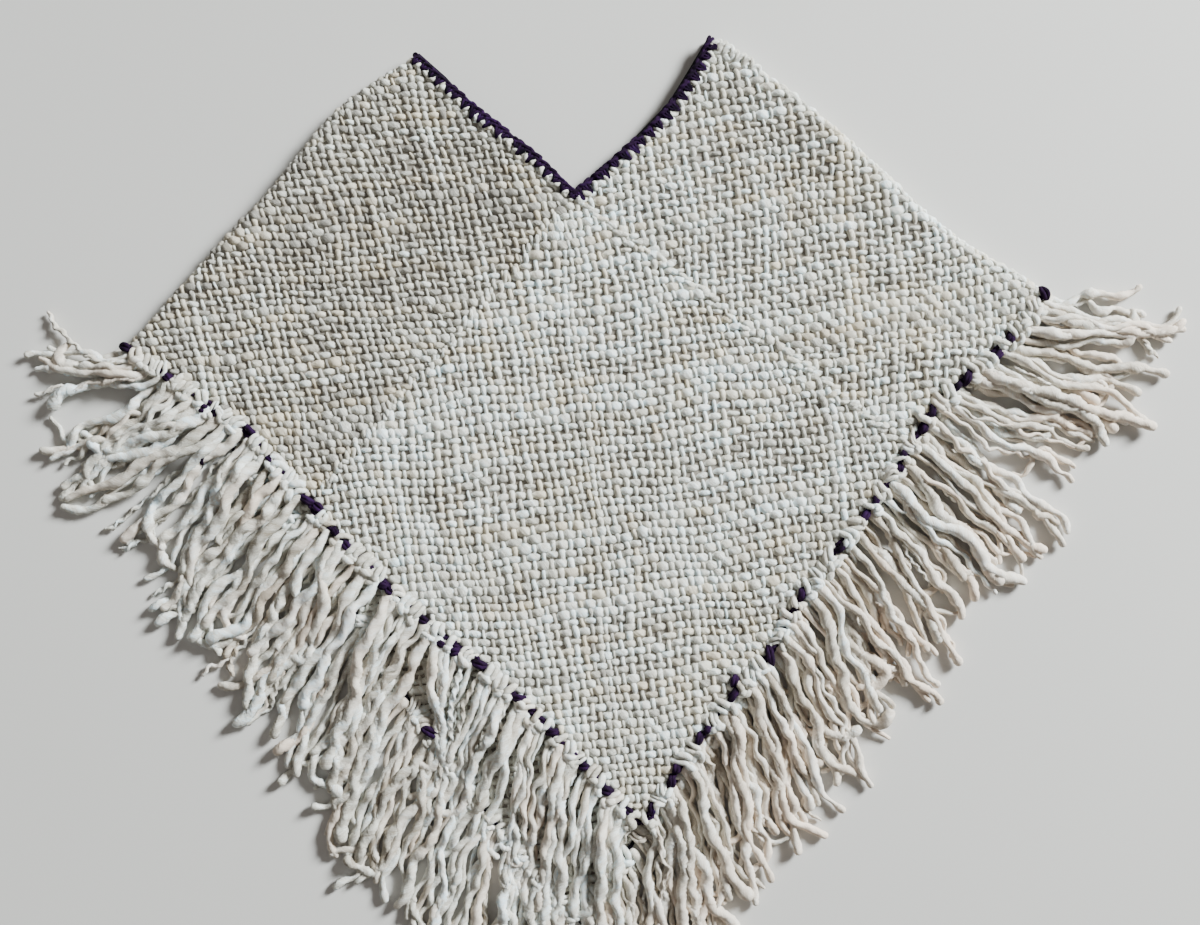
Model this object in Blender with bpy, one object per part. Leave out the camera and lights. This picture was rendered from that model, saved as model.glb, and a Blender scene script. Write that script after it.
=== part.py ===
"""A hand-woven wool poncho with a fringed hem, laid flat with its front on its back.

Four squares are woven on the bias. The front square and the back square hang point down, and the
two shoulder squares are folded over the shoulders between them. A dark crochet edging runs round
the neck. A dark foundation yarn runs along the hem, and the fringe is knotted over it in pairs of
loops, so that the yarn shows only as dashes between some of the knots.

Metres, with +X to the right of a viewer who stands over the poncho, +Y towards the shoulders and
+Z up. Left and right are the viewer's. The origin is on the floor, under the middle of the whole.
"""

import math
from bisect import bisect_right
from random import Random

import bmesh
import bpy
from mathutils import Matrix, Vector
from mathutils.geometry import interpolate_bezier

MM = 0.001
UP = Vector((0, 0, 1))
LAYERS = ("front", "back")
SIDES = ("left", "right")
OUTWARD_SIGN = {"left": -1, "right": 1}

# The cloth and how its layers lie.
WALL = 6.0 * MM  # cloth woven from 5 to 6 mm yarn
GAP = 0.3 * MM  # between touching pieces
LAYER_BASE = {"front": WALL + GAP, "back": 0.0}
FRONT_TOP = LAYER_BASE["front"] + WALL
FLAT_FOLD = 2 * WALL + 2 * GAP  # height of a shoulder fold at its two ends
FOLD_SWELL = 4.2 * MM  # how much higher the fold stands in the middle
SWELL_REACH = 45 * MM  # how far that height runs into the front layer

# How finely each piece is divided.
SQUARE_CELLS = {"front": 12, "back": 8}
SHOULDER_SECTIONS = 15
BACK_STEPS, FOLD_STEPS, FRONT_STEPS = 7, 6, 11
FRONT_CROWDING = 1.35  # draws the front's steps towards the fold

# Corners of the squares in plan, in millimetres from the middle of the view.
CORNERS = {
    # name: (x, y)
    "left_peak": (-150, 325),
    "right_peak": (91, 337),
    "front_neck_point": (-20, 212),
    "back_neck_point": (-27, 203),
    "left_corner": (-380, 94),
    "right_corner": (356, 138),
    "front_hem_point": (33, -288),
    "back_hem_point": (-16, -366),
}

# Points on the way from one corner to the next where an edge leaves the straight line.
BENDS = {
    # edge: (x, y) of each point, in millimetres
    "left_fold": ((-181, 306), (-215, 279), (-268, 216), (-326, 153)),
    "right_fold": ((124, 318), (156, 296), (221, 240), (270, 194), (307, 168), (335, 153)),
    "front_left_neck": ((-104, 284), (-52, 242)),
    "front_right_neck": ((72, 303), (42, 266), (8, 236)),
    "back_left_neck": (),
    "back_right_neck": ((72, 302), (42, 265), (5, 231)),
    "front_left_hem": (
        (-342, 69),
        (-311, 47),
        (-281, 25),
        (-256, -2),
        (-209, -56),
        (-140, -124),
        (-92, -163),
        (-37, -214),
    ),
    "front_right_hem": (
        (325, 101),
        (292, 70),
        (262, 40),
        (241, 4),
        (217, -32),
        (157, -110),
        (135, -150),
        (106, -184),
        (58, -249),
    ),
    "back_left_hem": ((-328, 48), (-264, -22), (-205, -104), (-134, -218), (-74, -299)),
    "back_right_hem": ((318, 92), (250, 20), (186, -72), (112, -180), (44, -276)),
}

# The share of each hem that belongs to the shoulder square.
HEM_SPLIT = {
    # (layer, side): share
    ("front", "left"): 0.34,
    ("front", "right"): 0.31,
    ("back", "left"): 0.39,
    ("back", "right"): 0.29,
}

# Soft swells of the front layer: where, how long and wide, which way and how high.
SWELLS = (
    # (x mm, y mm, half length mm, half width mm, heading degrees, height mm)
    (-34, 176, 62, 34, 20, 3.6),
    (252, 88, 88, 26, 14, 4.2),
    (218, 168, 74, 24, -34, 2.6),
    (-190, 6, 74, 34, 44, 2.4),
    (58, -40, 120, 46, 62, 2.2),
    (-112, -20, 92, 36, 118, 1.8),
    (-238, 140, 84, 30, 48, 2.2),
    (64, 210, 70, 28, -40, 2.0),
)

# How the fringe is combed, at each share of a hem from its shoulder corner to its point.
FAN = {
    # side: (share, degrees below the horizontal, strand length mm)
    "left": (
        (0.00, -14, 66),
        (0.05, 12, 96),
        (0.12, 31, 118),
        (0.22, 45, 126),
        (0.36, 56, 126),
        (0.50, 62, 127),
        (0.72, 70, 127),
        (1.00, 90, 125),
    ),
    "right": (
        (0.00, 3, 100),
        (0.05, 14, 120),
        (0.12, 33, 128),
        (0.28, 52, 128),
        (0.45, 64, 122),
        (0.62, 70, 124),
        (0.80, 75, 130),
        (1.00, 89, 126),
    ),
}
STRETCH = {
    # (layer, side): strand length as a share of the fan's
    ("front", "left"): 1.0,
    ("front", "right"): 1.0,
    ("back", "left"): 0.98,
    ("back", "right"): 0.8,
}

# Distances along a front hem, in millimetres from its corner, where the dark yarn shows.
DASHES = {
    "left": (8, 52, 92, 132, 172, 232, 258, 310, 330, 384, 430, 468, 512, 548, 578),
    "right": (4, 58, 80, 112, 134, 176, 214, 250, 308, 352, 392, 436, 460, 498, 522, 552),
}
DASH_REACH = 7 * MM  # a station this near a dash leaves the yarn bare

# The hem, outwards from the edge of the cloth: yarn, then knotted strip, then strands.
YARN_OUT = 2.3 * MM
YARN_HALF = 1.4 * MM
YARN_HEIGHT = 4.2 * MM
STRIP_IN = 4.1 * MM
STRIP_OUT = 12.0 * MM
STRIP_LOW = 0.45 * MM
STRIP_HIGH = 5.9 * MM
STRIP_INNER_HIGH = 5.7 * MM
KNOT_RISE = 1.3 * MM
KNOT_LIP = (-1.6 * MM, 7.6 * MM)  # out and up: a knot's loop reaches back over the cloth
CLOSED_LIP = (0.6 * MM, 7.0 * MM)  # between two knots that touch
BARE_LIP = (4.6 * MM, 6.0 * MM)  # where the yarn shows

# The strands.
STRAND_PITCH = 9.7 * MM
STRAND_HALF = (2.45 * MM, 2.95 * MM)
STRAND_SPREAD = (0.9, 1.08)  # shortest and longest, as a share of the combed length
STRAND_RINGS = {"front": 4, "back": 3}
STRAND_WAVE = 3.2 * MM
TIP_SIZE = 0.62  # a tip's width as a share of the strand's
FLOOR_CLEAR = 0.35 * MM
BACK_TIP_SPARE = 7 * MM  # how far a front strand stays up past the tips of the back's fringe
TIP_DROP = 16 * MM  # and over what distance it then comes down

# The neck edging.
EDGING_IN = 0.45 * MM
EDGING_LOW = 0.5 * MM
EDGING_INNER_HIGH = 5.8 * MM
EDGING_WIDE = 8.0 * MM
STITCH = 8.6 * MM
STITCH_FULL = (1.0, 6.3 * MM)  # share of the edging's width, and height
STITCH_THIN = (0.8, 5.7 * MM)
PLAIN_STEPS = 6  # along each run of the back's edging, which has no stitches
SPIKE = 7.5 * MM  # how far each stitch reaches over the cloth
SPIKE_ROOT_OUT = 1.2 * MM
SPIKE_ROOT_LOW = 6.9 * MM
SPIKE_ROOT_HIGH = 8.0 * MM
SPIKE_TIP_HIGH = 7.1 * MM
SPIKE_TIP_HALF = (0.5 * MM, 0.35 * MM)  # width and height


def remove_everything():
    for thing in list(bpy.data.objects):
        bpy.data.objects.remove(thing)


def make_material(name, colour, roughness):
    material = bpy.data.materials.new(name)
    material.use_nodes = True
    shader = material.node_tree.nodes["Principled BSDF"]
    shader.inputs["Base Color"].default_value = (*colour, 1)
    shader.inputs["Roughness"].default_value = roughness
    shader.inputs["Metallic"].default_value = 0
    material.diffuse_color = (*colour, 1)
    return material


def add_object(name, maker, material):
    """Makes an object of a closed mesh, with its faces turned outwards."""
    bmesh.ops.recalc_face_normals(maker, faces=maker.faces)
    mesh = bpy.data.meshes.new(name)
    maker.to_mesh(mesh)
    maker.free()
    mesh.shade_smooth()
    mesh.set_sharp_from_angle(angle=math.radians(50))
    mesh.materials.append(material)
    thing = bpy.data.objects.new(name, mesh)
    bpy.context.scene.collection.objects.link(thing)


def ease(share):
    """0 to 1 with level ends."""
    share = min(max(share, 0.0), 1.0)
    return share * share * (3 - 2 * share)


def shares(count, low=0.0, high=1.0):
    return [low + (high - low) * k / count for k in range(count + 1)]


def read_table(table, share):
    """Reads the columns of a table between its rows, by its first column."""
    for low, high in zip(table, table[1:]):
        if share <= high[0]:
            break
    part = ease((share - low[0]) / (high[0] - low[0]))
    return [a + (b - a) * part for a, b in zip(low[1:], high[1:])]


class Edge:
    """A smooth plan curve through a few points, read by its share of length."""

    STEPS = 16

    def __init__(self, *spots):
        spots = [Vector(spot) for spot in spots]
        before = [2 * spots[0] - spots[1]] + spots
        after = spots + [2 * spots[-1] - spots[-2]]
        self.points = []
        for a, b, c, d in zip(before, spots, spots[1:], after[2:]):
            third = (c - b).length / 3
            leave = b + (c - a).normalized() * third
            arrive = c - (d - b).normalized() * third
            self.points += interpolate_bezier(b, leave, arrive, c, self.STEPS + 1)[:-1]
        self.points.append(spots[-1])
        self.run = [0.0]
        for a, b in zip(self.points, self.points[1:]):
            self.run.append(self.run[-1] + (b - a).length)
        self.length = self.run[-1]

    def at(self, share):
        target = share * self.length
        k = min(max(bisect_right(self.run, target) - 1, 0), len(self.points) - 2)
        part = (target - self.run[k]) / (self.run[k + 1] - self.run[k])
        return self.points[k].lerp(self.points[k + 1], part)

    def heading(self, share, step=0.01):
        low, high = max(share - step, 0), min(share + step, 1)
        return (self.at(high) - self.at(low)).normalized()

    def outward(self, share, sign):
        """The plan normal, on the right of the way the edge runs where sign is 1."""
        along = self.heading(share)
        return Vector((along.y, -along.x)) * sign


def named_edge(start, end, bends):
    spots = (CORNERS[start], *BENDS[bends], CORNERS[end])
    return Edge(*[(x * MM, y * MM) for x, y in spots])


class Hem:
    """One hem of one layer, from its shoulder corner down to the point of the poncho."""

    def __init__(self, layer, side):
        self.layer, self.side = layer, side
        self.edge = named_edge(f"{side}_corner", f"{layer}_hem_point", f"{layer}_{side}_hem")
        self.base = LAYER_BASE[layer]
        self.sign = OUTWARD_SIGN[side]
        self.count = round(self.edge.length / STRAND_PITCH)
        self.split = round(self.count * HEM_SPLIT[layer, side])
        self.split_share = self.split / self.count

    def outward(self, share):
        return self.edge.outward(share, -self.sign)

    def combed(self, share):
        """The way a strand points and how long it is."""
        degrees, length = read_table(FAN[self.side], share)
        turn = math.radians(degrees)
        way = Vector((self.sign * math.cos(turn), -math.sin(turn)))
        return way, length * MM * STRETCH[self.layer, self.side]

    def shoulder_part(self, share):
        return self.edge.at(self.split_share * share)

    def square_part(self, share):
        return self.edge.at(self.split_share + (1 - self.split_share) * share)

    def bare(self, station):
        """Whether the dark yarn shows at a station of a front hem."""
        place = station / self.count * self.edge.length
        return any(abs(place - dash * MM) < DASH_REACH for dash in DASHES[self.side])


class Patch:
    """Plan points of a four-sided panel, blended from its four edges."""

    def __init__(self, near, far, start, end):
        self.near, self.far, self.start, self.end = near, far, start, end

    def at(self, u, v):
        ruled = self.near(u).lerp(self.far(u), v) + self.start(v).lerp(self.end(v), u)
        corners = self.near(0).lerp(self.near(1), u).lerp(self.far(0).lerp(self.far(1), u), v)
        return ruled - corners

    def depth(self, u):
        return (self.far(u) - self.near(u)).length


def swell_at(spot):
    """How far the soft swells lift the front layer at a plan point."""
    lift = 0.0
    for x, y, half_length, half_width, heading, height in SWELLS:
        turn = math.radians(heading)
        dx, dy = spot.x / MM - x, spot.y / MM - y
        along = (dx * math.cos(turn) + dy * math.sin(turn)) / half_length
        across = (dy * math.cos(turn) - dx * math.sin(turn)) / half_width
        lift += height * MM * ease(1 - math.hypot(along, across))
    return lift


def build_shell(name, outer, inner, material):
    """A closed wall between two grids of points, with its four rims."""
    maker = bmesh.new()
    grids = [[[maker.verts.new(point) for point in row] for row in grid] for grid in (outer, inner)]
    for grid in grids:
        for row, following in zip(grid, grid[1:]):
            for corners in zip(row, row[1:], following[1:], following):
                maker.faces.new(corners)
    columns = [list(zip(*grid)) for grid in grids]
    for top, bottom in (grids, columns):
        for end in (0, -1):
            for corners in zip(top[end], top[end][1:], bottom[end][1:], bottom[end]):
                maker.faces.new(corners)
    add_object(name, maker, material)


def build_square(layer, hems, seams, material):
    """The front or back square: u runs down the left seam and v down the right one."""
    left, right = seams["left"], seams["right"]
    patch = Patch(left.at, hems["right"].square_part, right.at, hems["left"].square_part)
    base = LAYER_BASE[layer]
    steps = shares(SQUARE_CELLS[layer], GAP / 2 / left.length, 1.0)
    top, bottom = [], []
    for u in steps:
        row = [patch.at(u, v) for v in steps]
        lifts = [swell_at(spot) if layer == "front" else 0.0 for spot in row]
        top.append([(p.x, p.y, base + WALL + lift) for p, lift in zip(row, lifts)])
        bottom.append([(p.x, p.y, base + lift) for p, lift in zip(row, lifts)])
    build_shell(f"{layer}_square", top, bottom, material)


def fold_section(front, back, u):
    """Outer and inner points of a folded shoulder square at one place along its fold."""
    height = FLAT_FOLD + FOLD_SWELL * math.sin(math.pi * u)
    radius = height / 2
    bore = radius - WALL
    front_reach = front.depth(u) - GAP / 2
    back_reach = back.depth(u) - GAP / 2
    outer, inner = [], []

    def place(ring, half, inward, z):
        spot = half.at(u, inward / half.depth(u))
        ring.append((spot.x, spot.y, z))

    for share in shares(BACK_STEPS)[:-1]:
        inward = back_reach + (radius - back_reach) * share
        place(outer, back, inward, 0.0)
        place(inner, back, inward, WALL)
    for turn in shares(FOLD_STEPS, -math.pi / 2, math.pi / 2):
        half = back if turn < 0 else front
        for ring, size in ((outer, radius), (inner, bore)):
            place(ring, half, radius - size * math.cos(turn), radius + size * math.sin(turn))
    for share in shares(FRONT_STEPS)[1:]:
        past = (front_reach - radius) * share**FRONT_CROWDING
        near_fold = ease(1 - past / SWELL_REACH)
        spot = front.at(u, (radius + past) / front.depth(u))
        top = FRONT_TOP + (height - FRONT_TOP) * near_fold + swell_at(spot) * (1 - near_fold)
        outer.append((spot.x, spot.y, top))
        inner.append((spot.x, spot.y, top - WALL))
    return outer, inner


def build_shoulder(side, fold, necks, hems, seams, material):
    """A shoulder square, folded: u runs down the fold from the neck and v from fold to seam."""
    front, back = [
        Patch(fold.at, seams[layer][side].at, necks[layer][side].at, hems[layer][side].shoulder_part)
        for layer in LAYERS
    ]
    outer, inner = zip(*[fold_section(front, back, u) for u in shares(SHOULDER_SECTIONS)])
    build_shell(f"{side}_shoulder_square", outer, inner, material)


def loft(rings):
    """Joins rings of points into a closed bar. Returns its maker and the walls of each stretch."""
    maker = bmesh.new()
    made = [[maker.verts.new(point) for point in ring] for ring in rings]
    stretches = []
    for ring, following in zip(made, made[1:]):
        around = zip(ring, ring[1:] + ring[:1], following[1:] + following[:1], following)
        stretches.append([maker.faces.new(corners) for corners in around])
    maker.faces.new(made[0])
    maker.faces.new(made[-1])
    return maker, stretches


def grow(maker, face, side, rings):
    """Draws a strand out of a face, through rings of (centre, heading, half width, half height)."""
    for centre, heading, half_width, half_height in rings:
        face = bmesh.ops.extrude_discrete_faces(maker, faces=[face])["faces"][0]
        middle = face.calc_center_median()
        across = heading.cross(UP).normalized()
        if across.dot(side) < 0:
            across.negate()
        for vert in face.verts:
            offset = vert.co - middle
            vert.co = centre + across * math.copysign(half_width, offset.dot(side))
            vert.co += UP * math.copysign(half_height, offset.z)
        side = across


def lay(spot, outward, distance, height):
    """The point this far outwards from an edge, at this height."""
    return Vector((*(spot + outward * distance), height))


def mitre(outward, other):
    """The outward step at a corner that two edges share."""
    middle = (outward + other).normalized()
    return middle / middle.dot(outward)


def hem_stations(hem, stations, corner):
    """The plan point and outward step of each station, half a gap short at both ends."""
    found = []
    for station in stations:
        share = station / hem.count
        outward = corner if station == hem.count else hem.outward(share)
        short = (station == stations[0]) - (station == stations[-1])
        spot = hem.edge.at(share) + hem.edge.heading(share) * short * GAP / 2
        found.append((station, spot, outward))
    return found


def build_yarn(name, hem, stations, corner, material):
    """The dark foundation yarn along a stretch of hem, between the cloth and the knots."""
    middle = hem.base + YARN_HEIGHT
    diamond = ((-1, 0), (0, -1), (1, 0), (0, 1))
    rings = [
        [lay(spot, outward, YARN_OUT + YARN_HALF * x, middle + YARN_HALF * z) for x, z in diamond]
        for _, spot, outward in hem_stations(hem, stations, corner)
    ]
    add_object(name, loft(rings)[0], material)


def strip_ring(hem, station, spot, outward):
    """One section of the knotted strip: outer wall, top with its lip over the yarn, inner wall."""
    front = hem.layer == "front"
    knot = front and station % 2 == 1
    rise = KNOT_RISE if knot else 0.0
    lip = KNOT_LIP if knot else CLOSED_LIP
    if not front or hem.bare(station):
        lip = BARE_LIP
    shape = (
        (STRIP_OUT, STRIP_LOW),
        (STRIP_OUT + rise, STRIP_HIGH + rise * 0.4),
        lip,
        (STRIP_IN, STRIP_INNER_HIGH),
        (STRIP_IN, STRIP_LOW),
    )
    return [lay(spot, outward, out, hem.base + height) for out, height in shape]


def strand_rings(hem, share, root, dice, shelf):
    """The rings of one strand, from near its root to its tip."""
    heading, length = hem.combed(share)
    length *= dice.uniform(*STRAND_SPREAD)
    half = dice.uniform(*STRAND_HALF)
    # Neighbours sway and wave together, so that they stand apart.
    place = share * hem.edge.length
    sway = 0.022 * math.sin(place / (31 * MM)) + 0.012 * math.sin(place / (13 * MM) + 1)
    phase = place / (47 * MM) + hem.sign
    heading.rotate(Matrix.Rotation(sway, 2))
    sideways = Vector((-heading.y, heading.x))
    count = STRAND_RINGS[hem.layer]
    rings = []
    for k in range(1, count + 1):
        part = (k if k > 1 else 0.6) / count
        wave = STRAND_WAVE * part * math.sin(math.tau * part + phase)
        centre = root + heading * length * part + sideways * wave
        width = half * (TIP_SIZE if k == count else 1.0 - 0.08 * (k % 2))
        height = shelf(centre) + width
        if k == 1:
            height = max(height, hem.base + (STRIP_LOW + STRIP_HIGH) / 2)
        rings.append((Vector((*centre, height)), Vector((*heading, 0)), width, width * 0.94))
    return rings


def build_fringe(name, hem, stations, corner, shelf, material):
    """A stretch of hem knots, with the strands drawn out of its outer wall."""
    rings = [strip_ring(hem, *station) for station in hem_stations(hem, stations, corner)]
    maker, stretches = loft(rings)
    dice = Random(name)
    for station, walls in zip(stations, stretches):
        share = (station + 0.5) / hem.count
        root = walls[0].calc_center_median().xy
        along = Vector((*hem.edge.heading(share), 0))
        grow(maker, walls[0], along, strand_rings(hem, share, root, dice, shelf))
    add_object(name, maker, material)


def make_shelf(back_hems):
    """Gives the height that a front strand lies on: the back's fringe, or the floor past it."""
    samples, close = 60, 5
    spots = [hem.edge.at(share) for hem in back_hems for share in shares(samples)]
    reach = [0.0] * len(spots)

    def nearest(spot):
        gaps = [(point - spot).length for point in spots]
        k = gaps.index(min(gaps))
        return k, gaps[k]

    for hem in back_hems:
        for share in shares(hem.count):
            heading, length = hem.combed(share)
            root = hem.edge.at(share) + hem.outward(share) * STRIP_OUT
            k, far = nearest(root + heading * length * STRAND_SPREAD[1])
            for near in range(max(k - close, 0), min(k + close + 1, len(reach))):
                reach[near] = max(reach[near], far + BACK_TIP_SPARE)

    def shelf(spot):
        k, far = nearest(spot)
        return FLOOR_CLEAR + LAYER_BASE["front"] * ease(1 - (far - reach[k]) / TIP_DROP)

    return shelf


def edging_ring(spot, outward, base, stitch, spiked):
    """One section of the crochet edging."""
    share, tall = stitch
    wide = EDGING_WIDE * share
    shape = [(EDGING_IN, EDGING_LOW), (wide * 0.8, EDGING_LOW), (wide, tall / 2), (wide * 0.8, tall)]
    if spiked:
        shape.append((EDGING_IN + SPIKE_ROOT_OUT, SPIKE_ROOT_HIGH))
        shape.append((EDGING_IN, SPIKE_ROOT_LOW))
    else:
        shape.append((EDGING_IN, EDGING_INNER_HIGH))
    return [lay(spot, outward, out, base + height) for out, height in shape]


def build_edging(layer, side, line, meeting, material):
    """The dark crochet along one run of the neck, from a peak down to the neck point."""
    spiked, base, sign = layer == "front", LAYER_BASE[layer], OUTWARD_SIGN[side]
    steps = 2 * round(line.length / STITCH) if spiked else PLAIN_STEPS
    # The outer sides of the two runs meet a full width before the neck point.
    places = [share for share in shares(steps) if (1 - share) * line.length > 1.1 * EDGING_WIDE]
    places.append(1.0)
    rings = []
    for k, share in enumerate(places):
        outward = meeting if share == 1 else line.outward(share, sign)
        short = (share == 0) - (share == 1)
        spot = line.at(share) + line.heading(share) * short * GAP / 2
        stitch = STITCH_FULL if k % 2 else STITCH_THIN
        rings.append(edging_ring(spot, outward, base, stitch, spiked))
    maker, stretches = loft(rings)
    for k in range(2, len(stretches) - 1, 2) if spiked else ():
        share = (places[k] + places[k + 1]) / 2
        inward = -Vector((*line.outward(share, sign), 0))
        root = stretches[k][4]
        tip = root.calc_center_median() + inward * SPIKE
        tip.z = base + SPIKE_TIP_HIGH
        grow(maker, root, Vector((*line.heading(share), 0)), [(tip, inward, *SPIKE_TIP_HALF)])
    add_object(f"neck_edging_{layer}_{side}", maker, material)


def build_hem(hem, corner, shelf, yarn, wool):
    """The yarn and the fringe of one hem, each in its shoulder part and its square part."""
    step = 1 if hem.layer == "front" else 2
    for part, low, high in (("shoulder_", 0, hem.split), ("", hem.split, hem.count)):
        stations = list(range(low, high + 1))
        ending = f"{hem.layer}_{part}{hem.side}"
        yarn_stations = stations[:-1:step] + stations[-1:]
        build_yarn(f"hem_yarn_{ending}", hem, yarn_stations, corner, yarn)
        build_fringe(f"fringe_{ending}", hem, stations, corner, shelf, wool)


def stand_on_origin():
    """Moves all pieces together, so that the origin is on the floor under the middle."""
    points = [vert.co for thing in bpy.data.objects for vert in thing.data.vertices]
    low, high = [[pick(point[k] for point in points) for k in range(3)] for pick in (min, max)]
    shift = Vector((-(low[0] + high[0]) / 2, -(low[1] + high[1]) / 2, -low[2]))
    for thing in bpy.data.objects:
        thing.location = shift


def main():
    remove_everything()
    cloth = make_material("cream_wool_cloth", (0.72, 0.68, 0.58), 0.95)
    wool = make_material("cream_wool_fringe", (0.78, 0.75, 0.67), 0.95)
    yarn = make_material("dark_purple_yarn", (0.035, 0.018, 0.055), 0.9)

    hems, necks, seams = {}, {}, {}
    for layer in LAYERS:
        hems[layer] = {side: Hem(layer, side) for side in SIDES}
        necks[layer] = {
            side: named_edge(f"{side}_peak", f"{layer}_neck_point", f"{layer}_{side}_neck")
            for side in SIDES
        }
        seams[layer] = {
            side: Edge(necks[layer][side].at(1), hems[layer][side].square_part(0))
            for side in SIDES
        }

    shelves = {"front": make_shelf(hems["back"].values()), "back": lambda spot: FLOOR_CLEAR}
    for layer in LAYERS:
        build_square(layer, hems[layer], seams[layer], cloth)
        neck_out = {side: necks[layer][side].outward(1, OUTWARD_SIGN[side]) for side in SIDES}
        hem_out = {side: hems[layer][side].outward(1) for side in SIDES}
        for side, other in (SIDES, SIDES[::-1]):
            meeting = mitre(neck_out[side], neck_out[other])
            build_edging(layer, side, necks[layer][side], meeting, yarn)
            corner = mitre(hem_out[side], hem_out[other])
            build_hem(hems[layer][side], corner, shelves[layer], yarn, wool)
    for side in SIDES:
        fold = named_edge(f"{side}_peak", f"{side}_corner", f"{side}_fold")
        build_shoulder(side, fold, necks, hems, seams, cloth)
    stand_on_origin()


main()
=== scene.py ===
# %% [markdown]
# # A hand-woven wool poncho, laid flat
# The poncho is four squares of chunky plain weave, a dark crochet edging round the neck, and a
# fringe knotted along the hem over a dark yarn. It lies flat and the camera looks straight down.
# The solids of the model are the frame. This lesson dresses them: each
# square gets real yarns that pass over and under each other, because at this yarn size the weave is
# shape, not a pattern on a surface. Lengths are in millimetres in the plan of the poncho until the
# last step of each piece, which turns them into metres.

# %% Load the frame
import math

import bpy
import numpy as np
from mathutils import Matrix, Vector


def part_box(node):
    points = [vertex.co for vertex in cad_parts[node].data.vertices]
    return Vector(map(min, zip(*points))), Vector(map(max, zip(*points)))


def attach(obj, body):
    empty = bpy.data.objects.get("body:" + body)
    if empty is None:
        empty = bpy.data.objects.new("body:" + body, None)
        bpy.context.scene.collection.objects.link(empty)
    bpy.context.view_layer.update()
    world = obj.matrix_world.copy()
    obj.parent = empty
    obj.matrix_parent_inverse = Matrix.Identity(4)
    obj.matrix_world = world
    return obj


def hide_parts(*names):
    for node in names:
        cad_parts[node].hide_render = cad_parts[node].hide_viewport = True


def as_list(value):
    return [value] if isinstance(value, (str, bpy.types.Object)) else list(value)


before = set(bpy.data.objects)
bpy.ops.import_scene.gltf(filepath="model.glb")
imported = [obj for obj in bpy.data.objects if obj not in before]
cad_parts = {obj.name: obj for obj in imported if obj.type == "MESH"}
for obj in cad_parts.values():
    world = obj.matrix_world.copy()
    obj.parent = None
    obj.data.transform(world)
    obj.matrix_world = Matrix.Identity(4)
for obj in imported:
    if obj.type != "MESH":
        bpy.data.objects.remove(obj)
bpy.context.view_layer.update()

print("frame nodes:", len(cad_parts))

# %% [markdown]
# ## The plan
# The outline was read once, for the solids, as corners and bends of each edge. The same points
# serve here, so that every yarn ends where its square ends. One shift moves the plan to the frame.

# %% Corners and bends
WALL = 6.0
GAP = 0.3
FRONT_BASE = WALL + GAP
FRONT_TOP = FRONT_BASE + WALL
FLAT_FOLD = 2 * FRONT_BASE
FOLD_SWELL = 4.2
SWELL_REACH = 45.0
SIDES = ("left", "right")
SIGN = {"left": -1, "right": 1}

CORNERS = {
    "left_peak": (-150, 325),
    "right_peak": (91, 337),
    "front_neck_point": (-20, 212),
    "back_neck_point": (-27, 203),
    "left_corner": (-380, 94),
    "right_corner": (356, 138),
    "front_hem_point": (33, -288),
    "back_hem_point": (-16, -366),
}
BENDS = {
    "left_fold": ((-181, 306), (-215, 279), (-268, 216), (-326, 153)),
    "right_fold": ((124, 318), (156, 296), (221, 240), (270, 194), (307, 168), (335, 153)),
    "front_left_neck": ((-104, 284), (-52, 242)),
    "front_right_neck": ((72, 303), (42, 266), (8, 236)),
    "back_left_neck": (),
    "back_right_neck": ((72, 302), (42, 265), (5, 231)),
    "front_left_hem": (
        (-342, 69), (-311, 47), (-281, 25), (-256, -2), (-209, -56), (-140, -124), (-92, -163), (-37, -214),
    ),
    "front_right_hem": (
        (325, 101), (292, 70), (262, 40), (241, 4), (217, -32), (157, -110), (135, -150), (106, -184),
        (58, -249),
    ),
    "back_left_hem": ((-328, 48), (-264, -22), (-205, -104), (-134, -218), (-74, -299)),
    "back_right_hem": ((318, 92), (250, 20), (186, -72), (112, -180), (44, -276)),
}
HEM_SPLIT = {
    ("front", "left"): 0.34,
    ("front", "right"): 0.31,
    ("back", "left"): 0.39,
    ("back", "right"): 0.29,
}
STRAND_PITCH = 9.7

# The solids put the middle of the whole over the origin, so the shift is read from two of them.
SHIFT = np.array(
    [
        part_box("left_shoulder_square")[0].x * 1000 - CORNERS["left_corner"][0],
        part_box("front_square")[0].y * 1000 - CORNERS["front_hem_point"][1],
        0.0,
    ]
)
print("plan to frame, mm:", SHIFT.round(2))

# %% Smooth lines through the points


def unit(steps):
    return steps / np.maximum(np.linalg.norm(steps, axis=-1, keepdims=True), 1e-9)


def ease(share):
    """0 to 1 with level ends."""
    share = np.clip(share, 0.0, 1.0)
    return share * share * (3 - 2 * share)


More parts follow.
